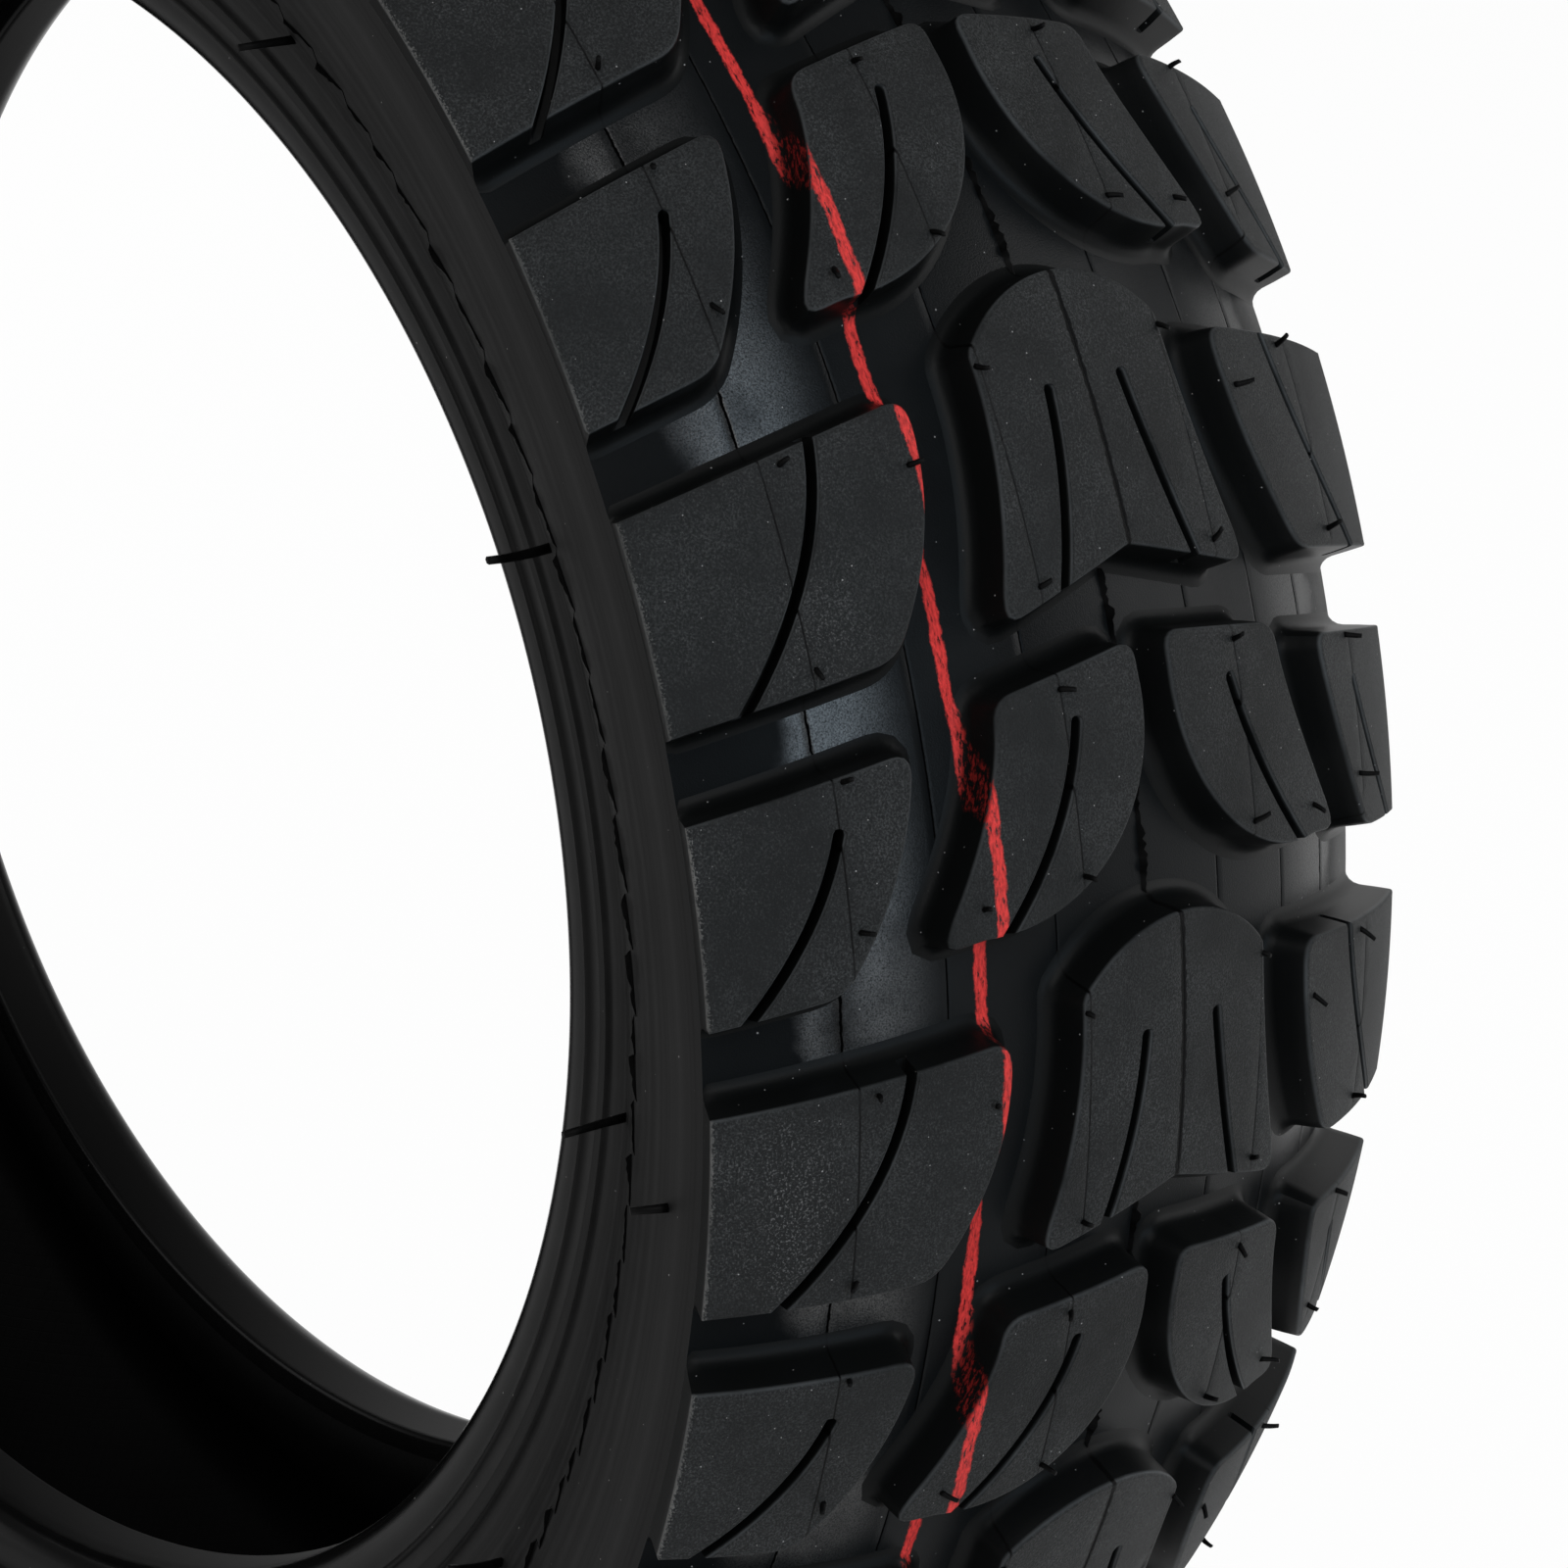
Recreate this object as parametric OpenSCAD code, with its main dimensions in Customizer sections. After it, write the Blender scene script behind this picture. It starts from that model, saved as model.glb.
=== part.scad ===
// Block-pattern tyre for a small motorcycle or scooter, size 130/60-10.
// The wheel axis is Y, the origin is the wheel centre and Z is up.
// Sections are drawn as [radius, side] points, and left is the side of -Y.

/* [Tyre] */
// Diameter over the tread at the middle
outer_d = 410; // [390:1:430]
// Radius of the crown arc across the block tops
crown_r = 116.4; // [108:0.1:126]
// Width of the tread along the crown, shoulder edge to shoulder edge
tread_w = 140; // [132:1:146]
// Depth of the grooves between the blocks
groove_depth = 6.7; // [5:0.1:8]
// Outward bulge of the sidewall between its rim line and the tread
sidewall_bulge = 2.1; // [0.5:0.1:4]

/* [Bead] */
// Diameter of the rim's bead seat that the bead sits on
seat_d = 253.2; // [250:0.1:256]
// Distance between the two bead heels
bead_span = 82; // [76:1:90]
// Width of the rounded heel, from the bead seat to the side of the bead
heel_r = 6.5; // [3:0.1:8]
// Height of the bead filler above the centre of the wire bundle
filler_h = 19; // [14:0.5:24]
// Diameter of one bead wire
wire_d = 0.96; // [0.8:0.02:1.1]
// Distance between neighbouring wires
wire_pitch = 1.25; // [1.15:0.01:1.5]
// Wires in a row and rows in a bundle
wire_rows = 4; // [3:1:5]
// Distance of a ply's turned-up edge from the tip of the bead filler
turn_up_gap = 1.5; // [0.5:0.1:3]

/* [Layers] */
// Tread rubber between the groove floor and the breaker
base_t = 3.4; // [2.5:0.1:5]
// Thickness of the breaker ply
breaker_t = 1; // [0.6:0.1:1.5]
// Width of the breaker ply along the crown
breaker_w = 92; // [80:1:98]
// Distance from the breaker's edge to where the carcass leaves the crown
shoulder_run = 6; // [4:0.5:8]
// Thickness of one carcass ply
ply_t = 0.9; // [0.6:0.1:1.2]
// Thickness of the air-tight inner liner
liner_t = 1.2; // [0.8:0.1:2]
// Rubber between the carcass and the side of the tyre at the tread's shoulder edge
sidewall_t = 5.5; // [4:0.1:7]
// Rubber and turned-up plies between the carcass and the side where the sidewall starts to flare
filler_cover = 9.6; // [8:0.1:11]
// Rubber coat between the outer wires and the bundle's surface
coat_t = 0.4; // [0.2:0.05:0.6]
// Thickness of the fabric wrap round the wire bundle
wrap_t = 0.5; // [0.3:0.1:0.8]
// Chafer rubber between the plies and the rim seat
chafer_t = 1.3; // [0.8:0.1:2]
// Chafer rubber between the plies and the heel
heel_t = 1.5; // [1:0.1:2.5]

/* [Tread pattern] */
// Length of one repeat of the pattern along the crown line
pitch_l = 85.8; // [82:0.1:92]
// Angle of the first repeat above the +X axis
pattern_phase = 29.4; // [0:0.1:60]
// Width of the sipes in the blocks
sipe_w = 1.5; // [0.8:0.1:2]
// Rubber left under a sipe
sipe_floor = 2.2; // [1:0.1:4]
// Half width of a centre block at its tail
centre_half_w = 22.5; // [20:0.5:24]
// Length of a centre block on the crown line, peak to notch
centre_l = 37; // [32:0.5:40]
// Reach of an intermediate block from the crown line to its tip
mid_reach = 38.3; // [35:0.1:39]
// Length of a long shoulder block at the shoulder edge
long_l = 31; // [27:0.5:34]
// Length of a short shoulder block at the shoulder edge
short_l = 29.7; // [26:0.5:33]

/* [Sidewall] */
// Height of the lower rim line above the bead seat
rim_line_1 = 8.1; // [6:0.1:9]
// Height of the upper rim line above the bead seat
rim_line_2 = 13.9; // [12:0.1:16]
// Height above the bead seat where the sidewall starts to flare
flare_h = 20.8; // [18:0.1:24]
// Side step of the sidewall from the heel to the start of the flare
flare_step = 5.3; // [4:0.1:7]
// Height of the moulded rim lines
rib_h = 0.7; // [0.3:0.1:1.2]
// Width of the moulded rim lines
rib_w = 1.6; // [1:0.1:2.4]

/* [Hidden] */
$fn = 180;

outer_r = outer_d / 2;
seat_r = seat_d / 2;
// The crown arcs share one centre, at this radius from the axle
hub_r = outer_r - crown_r;
floor_r = crown_r - groove_depth;
carcass_r = floor_r - base_t - breaker_t;
// Repeats that fit round the tyre, and the angle of one repeat
pitches = round(PI * outer_d / pitch_l);
pitch_angle = 360 / pitches;
// The wire bundle and the plies that turn round it
bundle_r = sqrt(2) * (wire_rows - 1) / 2 * wire_pitch + wire_d / 2 + coat_t;
turn_r = bundle_r + wrap_t;
plies_t = 2 * ply_t;
core = [seat_r + chafer_t + plies_t + turn_r, bead_span / 2 - heel_t - plies_t - turn_r];
// Angle at which a ply meets the bundle, the share of the sidewall that the plies run along,
// and the pull of their bends as a share of each bend's chord
turn_in = -70;
followed = 0.35;
roundness = 0.42;

function across(u) = u / crown_r * 180 / PI;
function polar(c, r, a) = c + r * [cos(a), sin(a)];
function crown(u, depth) = polar([hub_r, 0], crown_r - depth, across(u));
function flip(p) = [p[0], -p[1]];
function flip_all(list) = [for (i = [len(list) - 1:-1:0]) flip(list[i])];
function back(list) = [for (i = [len(list) - 1:-1:0]) list[i]];
function quad(a, b, c, t) = (1 - t) * (1 - t) * a + 2 * t * (1 - t) * b + t * t * c;
function quad_way(a, b, c, t) = (1 - t) * (b - a) + t * (c - b);
function curve(a, b, c, n) = [for (i = [0:n]) quad(a, b, c, i / n)];
function cubic(p, t) = let (s = 1 - t)
    s * s * s * p[0] + 3 * s * s * t * p[1] + 3 * s * t * t * p[2] + t * t * t * p[3];
function cubic_way(p, t) = let (s = 1 - t)
    3 * s * s * (p[1] - p[0]) + 6 * s * t * (p[2] - p[1]) + 3 * t * t * (p[3] - p[2]);
// The side of a path that faces the cavity, or away from the bundle
function inward(way) = [-way[1], way[0]] / norm(way);

// Outside of the sidewall, from the heel to the shoulder edge of the tread
heel_y = bead_span / 2;
// The heel's rounding ends just below the lower rim line
heel_up = 0.9 * (rim_line_1 - rib_w / 2);
function wall_point(height) = height < flare_h
    ? [seat_r + height, heel_y + flare_step * pow(height / flare_h, 2)]
    : [seat_r + height, heel_y + flare_step];
flare = wall_point(flare_h);
tread_edge = crown(tread_w / 2, groove_depth);
bulge_at = (flare + tread_edge) / 2 - 2 * sidewall_bulge * inward(flare - tread_edge);
function sidewall_way(t) = -quad_way(flare, bulge_at, tread_edge, t);

// Outer face of the outer ply under the sidewall, by the rubber that covers it
function cover(t) = filler_cover + (sidewall_t - filler_cover) * t;
function under(t) = quad(flare, bulge_at, tread_edge, t) - [0, cover(t)];
shoulder_u = breaker_w / 2 + shoulder_run;
leave = [-sin(across(shoulder_u)), cos(across(shoulder_u))];
enter = [-sin(turn_in), cos(turn_in)];
wall_from = crown(shoulder_u, crown_r - carcass_r);
wall_mid = under(followed);
wall_low = under(0);
wall_to = polar(core, turn_r, turn_in);
// A run between two points that leaves and arrives along the given ways, as round as an arc
function bend(a, way_a, way_b, b) = let (pull = roundness * norm(b - a))
    [a, a + pull * way_a / norm(way_a), b - pull * way_b / norm(way_b), b];
shoulder_bend = bend(wall_from, leave, sidewall_way(followed), wall_mid);
bead_bend = bend(wall_low, sidewall_way(0), -enter, wall_to);

// Path of that face, in three runs: round the shoulder, down the sidewall and in to the bead
function wall_step(t) =
    t < 1 ? [cubic(shoulder_bend, t), inward(cubic_way(shoulder_bend, t))]
    : t < 2 ? [under(followed * (2 - t)), inward(sidewall_way(followed * (2 - t)))]
    : [cubic(bead_bend, t - 2), inward(cubic_way(bead_bend, t - 2))];
function find_height(r, low, high, n) = let (t = (low + high) / 2)
    n == 0 ? t : wall_step(t)[0][0] > r ? find_height(r, t, high, n - 1) : find_height(r, low, t, n - 1);
apex_t = find_height(core[0] + filler_h, 1, 3, 24);
apex = wall_step(apex_t)[0];
to_apex = apex - core;
turn_out = atan2(to_apex[1], to_apex[0]) + acos(turn_r / norm(to_apex)) - 360;
turn_up_way = apex - polar(core, turn_r, turn_out);

function crown_step(u) = [crown(u, crown_r - carcass_r), -[cos(across(u)), sin(across(u))]];
function turn_step(a) = [polar(core, turn_r, a), [cos(a), sin(a)]];
crown_n = 6;
wall_n = 8;
low_n = 5;
turn_n = 12;
path = concat(
    [for (i = [0:crown_n]) crown_step(breaker_w / 2 * i / crown_n)],
    [crown_step(shoulder_u)],
    [for (i = [1:wall_n]) wall_step(apex_t * i / wall_n)],
    [for (i = [1:low_n]) wall_step(apex_t + (3 - apex_t) * i / low_n)],
    [for (i = [1:turn_n]) turn_step(turn_in + (turn_out - turn_in) * i / turn_n)],
    [[apex - turn_up_gap * turn_up_way / norm(turn_up_way), inward(turn_up_way)]]);
at_breaker = crown_n;
at_shoulder = crown_n + 1;
at_apex = at_shoulder + wall_n;
at_turn = at_apex + low_n;
at_toe = at_turn + 3;
at_turn_end = at_turn + turn_n;
at_end = at_turn_end + 1;

function side(offset, from, to) = [for (i = [from:to]) path[i][0] + offset * path[i][1]];
function both_sides(offset, to) = concat(flip_all(side(offset, 1, to)), side(offset, 0, to));
function layer(inner, outer, to) = concat(both_sides(inner, to), back(both_sides(outer, to)));
// Outline of the bundle's wrap: the ply's turn below and its closing arc above
wrap_gap = turn_in - turn_out - 360;
wrap_top = [for (i = [1:turn_n - 1]) polar(core, turn_r, turn_out + wrap_gap * i / turn_n)];
wrap_outline = concat(side(0, at_turn, at_turn_end), wrap_top);

// Rim lines, and the joint of the chafer and the sidewall
function rib(height) = [
    wall_point(height - rib_w / 2),
    wall_point(height) + [0, rib_h],
    wall_point(height + rib_w / 2)];
joint_h = (rim_line_1 + rim_line_2) / 2;
turn_up_at = side(plies_t, at_turn_end, at_end);
joint_share = (seat_r + joint_h - turn_up_at[0][0]) / (turn_up_at[1][0] - turn_up_at[0][0]);
joint_in = turn_up_at[0] + joint_share * (turn_up_at[1] - turn_up_at[0]);

module revolve() {
    rotate([-90, 0, 0])
        rotate_extrude()
            children();
}

module ring(outline) {
    revolve()
        polygon(outline);
}

module on_left() {
    mirror([0, 1, 0])
        children();
}

module inner_liner() {
    color("#3a3a38")
        ring(layer(plies_t, plies_t + liner_t, at_toe));
}

module carcass_ply_inner() {
    color("#b9a67c")
        ring(layer(ply_t, plies_t, at_end));
}

module carcass_ply_outer() {
    color("#c9b78d")
        ring(layer(0, ply_t, at_end));
}

module breaker_section() {
    polygon(layer(0, -breaker_t, at_breaker));
}

module breaker_ply() {
    color("#d4c7a4")
        revolve()
            breaker_section();
}

// Tread rubber under the blocks: its outside is the groove floor, its edges lie on the sidewalls
module tread_base() {
    joint = path[at_shoulder][0];
    joint_out = tread_edge + (tread_edge - joint);
    color("#232424")
        revolve()
            difference() {
                intersection() {
                    translate([hub_r, 0])
                        circle(floor_r);
                    polygon([
                        flip(joint), flip(joint_out), [outer_d, -tread_w], [outer_d, tread_w],
                        joint_out, joint]);
                }
                polygon(concat(both_sides(0, at_shoulder), [[hub_r, 0]]));
                breaker_section();
            }
}

module wire_grid() {
    for (i = [0:wire_rows - 1], j = [0:wire_rows - 1])
        translate(core + wire_pitch * [i - (wire_rows - 1) / 2, j - (wire_rows - 1) / 2])
            circle(d = wire_d, $fn = 24);
}

module bead_wires_right() {
    color("#b98a4b")
        revolve()
            wire_grid();
}

module bead_wires_left() {
    on_left()
        bead_wires_right();
}

module bead_insulation_right() {
    color("#2e2e2c")
        revolve()
            difference() {
                translate(core)
                    circle(bundle_r, $fn = 48);
                wire_grid();
            }
}

module bead_insulation_left() {
    on_left()
        bead_insulation_right();
}

module bead_wrap_right() {
    color("#a89b7d")
        revolve()
            difference() {
                polygon(wrap_outline);
                translate(core)
                    circle(bundle_r, $fn = 48);
            }
}

module bead_wrap_left() {
    on_left()
        bead_wrap_right();
}

// Hard rubber wedge between the ply's main run, its turn-up and the wire bundle
module bead_filler_right() {
    color("#2a2a2a")
        ring(concat(
            side(0, at_apex, at_turn),
            back(wrap_top),
            side(0, at_turn_end, at_end)));
}

module bead_filler_left() {
    on_left()
        bead_filler_right();
}

// Rubber strip round the bead: toe, rim seat, heel and the lower rim line
module chafer_right() {
    toe = path[at_toe][0] + (plies_t + liner_t) * path[at_toe][1];
    toe_r = liner_t / 2;
    color("#1f2020")
        ring(concat(
            [toe, [seat_r + toe_r, toe[1] - toe_r / 2], [seat_r, toe[1] + toe_r]],
            curve([seat_r, heel_y - heel_r], [seat_r, heel_y], wall_point(heel_up), 8),
            rib(rim_line_1),
            [wall_point(joint_h), joint_in],
            back(side(plies_t, at_toe, at_turn_end))));
}

module chafer_left() {
    on_left()
        chafer_right();
}

// Outer rubber from the chafer to the tread's shoulder edge, with the upper rim line
module sidewall_right() {
    color("#2b2b2b")
        ring(concat(
            [joint_in, wall_point(joint_h)],
            rib(rim_line_2),
            curve(flare, bulge_at, tread_edge, 10),
            side(0, at_shoulder, at_apex),
            [path[at_end][0], turn_up_at[1]]));
}

module sidewall_left() {
    on_left()
        sidewall_right();
}

// Space of one repeat's blocks: between the groove floor and the crown, up to the shoulder edges
module block_space() {
    edge = across(tread_w / 2);
    rotate([0, 0, -pitch_angle / 2])
        rotate_extrude(angle = pitch_angle)
            intersection() {
                difference() {
                    translate([hub_r, 0])
                        circle(crown_r);
                    translate([hub_r, 0])
                        circle(floor_r);
                }
                polygon([
                    [hub_r, 0], polar([hub_r, 0], outer_d, -edge), polar([hub_r, 0], outer_d, edge)]);
            }
}

// A corner cut round over the given length
function corner(before, at, after, cut) = curve(
    at + cut * (before - at) / norm(before - at), at, at + cut * (after - at) / norm(after - at), 2);
// A point of the developed pattern [along, across], laid on the plane at the block's middle
function laid(p, middle) = [
    (p[0] - middle[0]) * (hub_r + crown_r * cos(across(p[1]))) / outer_r,
    crown_r * sin(across(p[1] - middle[1]))];
function lay(list, middle) = [for (p = list) laid(p, middle)];
// Both long edges of a sipe that follows a line of points
function sipe(line) = let (n = len(line) - 1, out = [for (i = [0:n])
    sipe_w / 2 * inward(line[min(i + 1, n)] - line[max(i - 1, 0)])])
    concat([for (i = [0:n]) line[i] + out[i]], [for (i = [n:-1:0]) line[i] - out[i]]);

// One block with its sipes, standing on the crown at its middle
module block(outline, sipes, middle) {
    translate([hub_r, 0, 0])
        rotate([0, -across(middle[1]), 0])
            rotate([90, 0, 90])
                difference() {
                    translate([0, 0, floor_r - groove_depth])
                        linear_extrude(3 * groove_depth)
                            polygon(lay(outline, middle));
                    for (line = sipes)
                        translate([0, 0, floor_r + sipe_floor])
                            linear_extrude(2 * groove_depth)
                                polygon(lay(sipe(line), middle));
                }
}

// A row of blocks round the tyre, each trimmed to the crown and the groove floor
module block_row(outline, sipes, middle) {
    first = middle[0] / outer_r * 180 / PI - pattern_phase;
    for (i = [0:pitches - 1])
        rotate([0, first + i * pitch_angle, 0])
            rotate([-90, 0, 0])
                intersection() {
                    block_space();
                    block(outline, sipes, middle);
                }
}

// Centre block: arched front, sides that flare to two tails, a notch between them and two sipes
module centre_blocks() {
    arch_r = 22.5;
    shoulder_a = 50.5;
    side_from = [arch_r * (1 - cos(shoulder_a)), arch_r * sin(shoulder_a)];
    notch = [centre_l, 0];
    tail = [centre_l + 6.5, centre_half_w];
    half = concat(
        [for (i = [0:4]) let (a = shoulder_a * i / 4) [arch_r * (1 - cos(a)), arch_r * sin(a)]],
        curve(side_from + [2, 0], [24, side_from[1]], tail - [4.5, 0.7], 3),
        corner(tail - [4.5, 0.7], tail, notch, 3));
    line = curve([15.2, 6.7], [28.6, 8], [centre_l + 5, 12.9], 3);
    color("#2e3031")
        block_row(
            concat([notch], flip_all(half), [for (i = [1:len(half) - 1]) half[i]]),
            [line, [for (p = line) flip(p)]],
            [centre_l / 2, 0]);
}

// Intermediate block: straight front, round inner edge, a tip that points to the shoulder
module intermediate_blocks_right() {
    front_in = [-36.9, 2.9];
    front_out = [-33.6, 26.7];
    tip = [-2, mid_reach];
    round_at = [-30, 30];
    round_r = 27.2;
    color("#2e3031")
        block_row(
            concat(
                corner(tip, front_out, front_in, 3),
                corner(front_out, front_in, front_in + [9, 0.2], 3),
                [for (i = [0:6]) polar(round_at, round_r, 265 + 16.5 * i)],
                corner([-3, 32], tip, [-20, 29.4], 3),
                curve([-6.5, mid_reach - 2], [-20, 28.6], [-29, 27.2], 3)),
            [curve([-28.4, 14.6], [-14.3, 17.8], [-2.2, 29.2], 4)],
            [-19, 18]);
}

module intermediate_blocks_left() {
    on_left()
        intermediate_blocks_right();
}

// Long shoulder block: from the shoulder edge to a curved inner edge, a sipe right through
module long_shoulder_blocks_right() {
    edge = tread_w / 2 + 4;
    front = [17.1, tread_w / 2];
    front_in = [11.4, 29];
    rear = front + [long_l, 0];
    rear_in = rear - [3.9, 31];
    color("#2e3031")
        block_row(
            concat(
                [[front[0], edge]],
                corner(front, front_in, [30, 28.8], 3),
                curve([15.4, 28.7], [30, 29], rear_in, 4),
                [[rear[0], edge]]),
            [curve([11.6, 43], [29.7, 44.2], rear + [1, -8.2], 4)],
            [30, 50]);
}

module long_shoulder_blocks_left() {
    on_left()
        long_shoulder_blocks_right();
}

// Short shoulder block: like the long one, with a sipe that starts in the block
module short_shoulder_blocks_right() {
    edge = tread_w / 2 + 4;
    front = [-25.4, tread_w / 2];
    front_in = [-29.7, 39.4];
    rear = front + [short_l, 0];
    rear_in = rear - [2.9, 18.1];
    color("#2e3031")
        block_row(
            concat(
                [[front[0], edge]],
                corner(front, front_in, [-11.5, 42.6], 3),
                curve([-26, 39.8], [-11.5, 42.6], rear_in, 4),
                [[rear[0], edge]]),
            [curve([-20.8, 50.6], [-6.8, 54.9], rear + [1, -4], 4)],
            [-12, 56]);
}

module short_shoulder_blocks_left() {
    on_left()
        short_shoulder_blocks_right();
}

inner_liner();
carcass_ply_inner();
carcass_ply_outer();
breaker_ply();
tread_base();
bead_wires_left();
bead_wires_right();
bead_insulation_left();
bead_insulation_right();
bead_wrap_left();
bead_wrap_right();
bead_filler_left();
bead_filler_right();
chafer_left();
chafer_right();
sidewall_left();
sidewall_right();
centre_blocks();
intermediate_blocks_left();
intermediate_blocks_right();
long_shoulder_blocks_left();
long_shoulder_blocks_right();
short_shoulder_blocks_left();
short_shoulder_blocks_right();
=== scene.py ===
import math
import random

import bmesh
import bpy
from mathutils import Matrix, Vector
from mathutils.geometry import delaunay_2d_cdt


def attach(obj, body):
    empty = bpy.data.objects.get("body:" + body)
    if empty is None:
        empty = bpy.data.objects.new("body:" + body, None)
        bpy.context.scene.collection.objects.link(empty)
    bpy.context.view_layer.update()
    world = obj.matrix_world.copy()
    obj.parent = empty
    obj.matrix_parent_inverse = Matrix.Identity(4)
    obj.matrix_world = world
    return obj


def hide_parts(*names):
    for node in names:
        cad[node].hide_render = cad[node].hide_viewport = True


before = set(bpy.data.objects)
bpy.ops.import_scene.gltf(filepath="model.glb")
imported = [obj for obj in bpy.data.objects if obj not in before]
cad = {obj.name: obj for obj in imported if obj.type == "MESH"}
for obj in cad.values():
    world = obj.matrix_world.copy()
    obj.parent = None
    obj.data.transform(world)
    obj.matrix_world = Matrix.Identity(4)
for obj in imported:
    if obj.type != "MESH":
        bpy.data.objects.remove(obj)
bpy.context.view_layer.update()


# Inner liner: a sheet of butyl rubber, the first layer on the building drum, which keeps the air in.
# The curing bladder presses it against the plies and leaves the fine crossed lines of its own vents.
# Sizes are in millimetres, a section is drawn as (radius, side) points, and -Y is the left side.
MM = 0.001
OUTER_R = 205.0
CROWN_R = 116.4
HUB_R = OUTER_R - CROWN_R
BLOCK_H = 6.7
TREAD_BASE_T = 3.4
BREAKER_T = 1.0
CARCASS_DEPTH = BLOCK_H + TREAD_BASE_T + BREAKER_T
CROWN_RUN = 52.0
TREAD_EDGE = 70.0
SEAT_R = 126.6
HEEL_Y = 41.0
FLARE_H = 20.8
FLARE_STEP = 5.3
SIDEWALL_BULGE = 2.1
SIDEWALL_T = 5.5
FILLER_COVER = 9.6
FOLLOWED = 0.35
BEAD = Vector((133.73, 33.67))
BEAD_R = 4.03
FILLER_H = 19.0
PLY_MEETS_BEAD = math.radians(-70)
TURN_UP_GAP = 1.5
PLIES_T = 1.8
LINER_T = 1.2
# The liner's colours are partly painted shade: darker than butyl, so that the tyre's inside stays black.
LINER_BLACK_PAINTED_SHADE = "#050505"
LINER_GREY_PAINTED_SHADE = "#0b0b0b"
LINER_STEPS = 288
VENT_PITCH = 3.0
BEND_PULL = 0.42


def crown_point(across, depth):
    """The point of the section at this distance across the crown and this depth under it."""
    turn = across / CROWN_R
    reach = CROWN_R - depth
    return Vector((HUB_R + reach * math.cos(turn), reach * math.sin(turn)))


def direction(turn):
    return Vector((math.cos(turn), math.sin(turn)))


def wall_point(height):
    """The outside of the bead at this height above the rim seat."""
    return Vector((SEAT_R + height, HEEL_Y + FLARE_STEP * (height / FLARE_H) ** 2))


def quad(a, b, c, t):
    return (1 - t) ** 2 * Vector(a) + 2 * t * (1 - t) * Vector(b) + t * t * Vector(c)


def curve(a, b, c, count):
    return [quad(a, b, c, i / count) for i in range(count + 1)]


def bend(a, way_a, way_b, b, count):
    """A round run of points that leaves one point and arrives at the other along the given ways."""
    pull = BEND_PULL * (b - a).length
    spots = (a, a + pull * way_a.normalized(), b - pull * way_b.normalized(), b)
    points = []
    for i in range(1, count + 1):
        t = i / count
        near, far = quad(*spots[:3], t), quad(*spots[1:], t)
        points.append(near.lerp(far, t))
    return points


flare = wall_point(FLARE_H)
tread_edge = crown_point(TREAD_EDGE, BLOCK_H)
chord = (tread_edge - flare).normalized()
bulge = (flare + tread_edge) / 2 + 2 * SIDEWALL_BULGE * Vector((-chord.y, chord.x))
CROWN_COUNT, SHOULDER_COUNT, WALL_COUNT, LOW_COUNT, TURN_COUNT = 26, 24, 6, 20, 32


def carcass_steps():
    """The carcass's outer face as (point, way to the cavity): crown, sidewall, round the bead and up."""
    points = [crown_point(CROWN_RUN * i / CROWN_COUNT, CARCASS_DEPTH) for i in range(CROWN_COUNT + 1)]
    ways, wall = [], []
    for i in range(WALL_COUNT + 1):
        t = FOLLOWED * (1 - i / WALL_COUNT)
        cover = FILLER_COVER + (SIDEWALL_T - FILLER_COVER) * t
        wall.append(quad(flare, bulge, tread_edge, t) - Vector((0, cover)))
        ways.append((1 - t) * (flare - bulge) + t * (bulge - tread_edge))
    leave = direction(CROWN_RUN / CROWN_R + math.pi / 2)
    enter = direction(PLY_MEETS_BEAD - math.pi / 2)
    points += bend(points[-1], leave, ways[0], wall[0], SHOULDER_COUNT)
    points += wall[1:]
    points += bend(wall[-1], ways[-1], enter, BEAD + BEAD_R * direction(PLY_MEETS_BEAD), LOW_COUNT)
    tip_r = BEAD.x + FILLER_H
    tip = next(a.lerp(b, (a.x - tip_r) / (a.x - b.x)) for a, b in zip(points, points[1:]) if b.x < tip_r)
    reach = tip - BEAD
    last_turn = math.atan2(reach.y, reach.x) + math.acos(BEAD_R / reach.length) - 2 * math.pi
    for i in range(1, TURN_COUNT + 1):
        points.append(BEAD + BEAD_R * direction(PLY_MEETS_BEAD + (last_turn - PLY_MEETS_BEAD) * i / TURN_COUNT))
    points.append(tip - TURN_UP_GAP * (tip - points[-1]).normalized())
    steps = []
    before = [Vector((points[1].x, -points[1].y))] + points
    for a, point, b in zip(before, points, points[1:] + points[-1:]):
        steps.append((point, Vector((a.y - b.y, b.x - a.x)).normalized()))
    return steps


CARCASS = carcass_steps()
AT_SHOULDER = CROWN_COUNT
AT_BEAD = AT_SHOULDER + SHOULDER_COUNT + WALL_COUNT + LOW_COUNT
AT_TOE = AT_BEAD + TURN_COUNT // 4
AT_TURN_END = AT_BEAD + TURN_COUNT


def layer(offset, first, last):
    return [point + offset * way for point, way in CARCASS[first:last + 1]]


def left_side(points):
    return [Vector((p.x, -p.y)) for p in reversed(points)]


def swept(name, sections, sharp):
    """Sections that stand evenly round the axle, joined into a closed ring."""
    count = len(sections[0])
    points, faces = [], []
    for i, section in enumerate(sections):
        turn = 2 * math.pi * i / len(sections)
        points += [(p.x * math.cos(turn) * MM, p.y * MM, p.x * math.sin(turn) * MM) for p in section]
        here, there = i * count, (i + 1) % len(sections) * count
        for j in range(count):
            k = (j + 1) % count
            faces.append((here + j, here + k, there + k, there + j))
    mesh = bpy.data.meshes.new(name)
    mesh.from_pydata(points, [], faces)
    return placed(name, mesh, sharp)


def ring(name, outline, segments=360):
    """One closed section turned round the axle."""
    return swept(name, [outline] * segments, 40)


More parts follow.
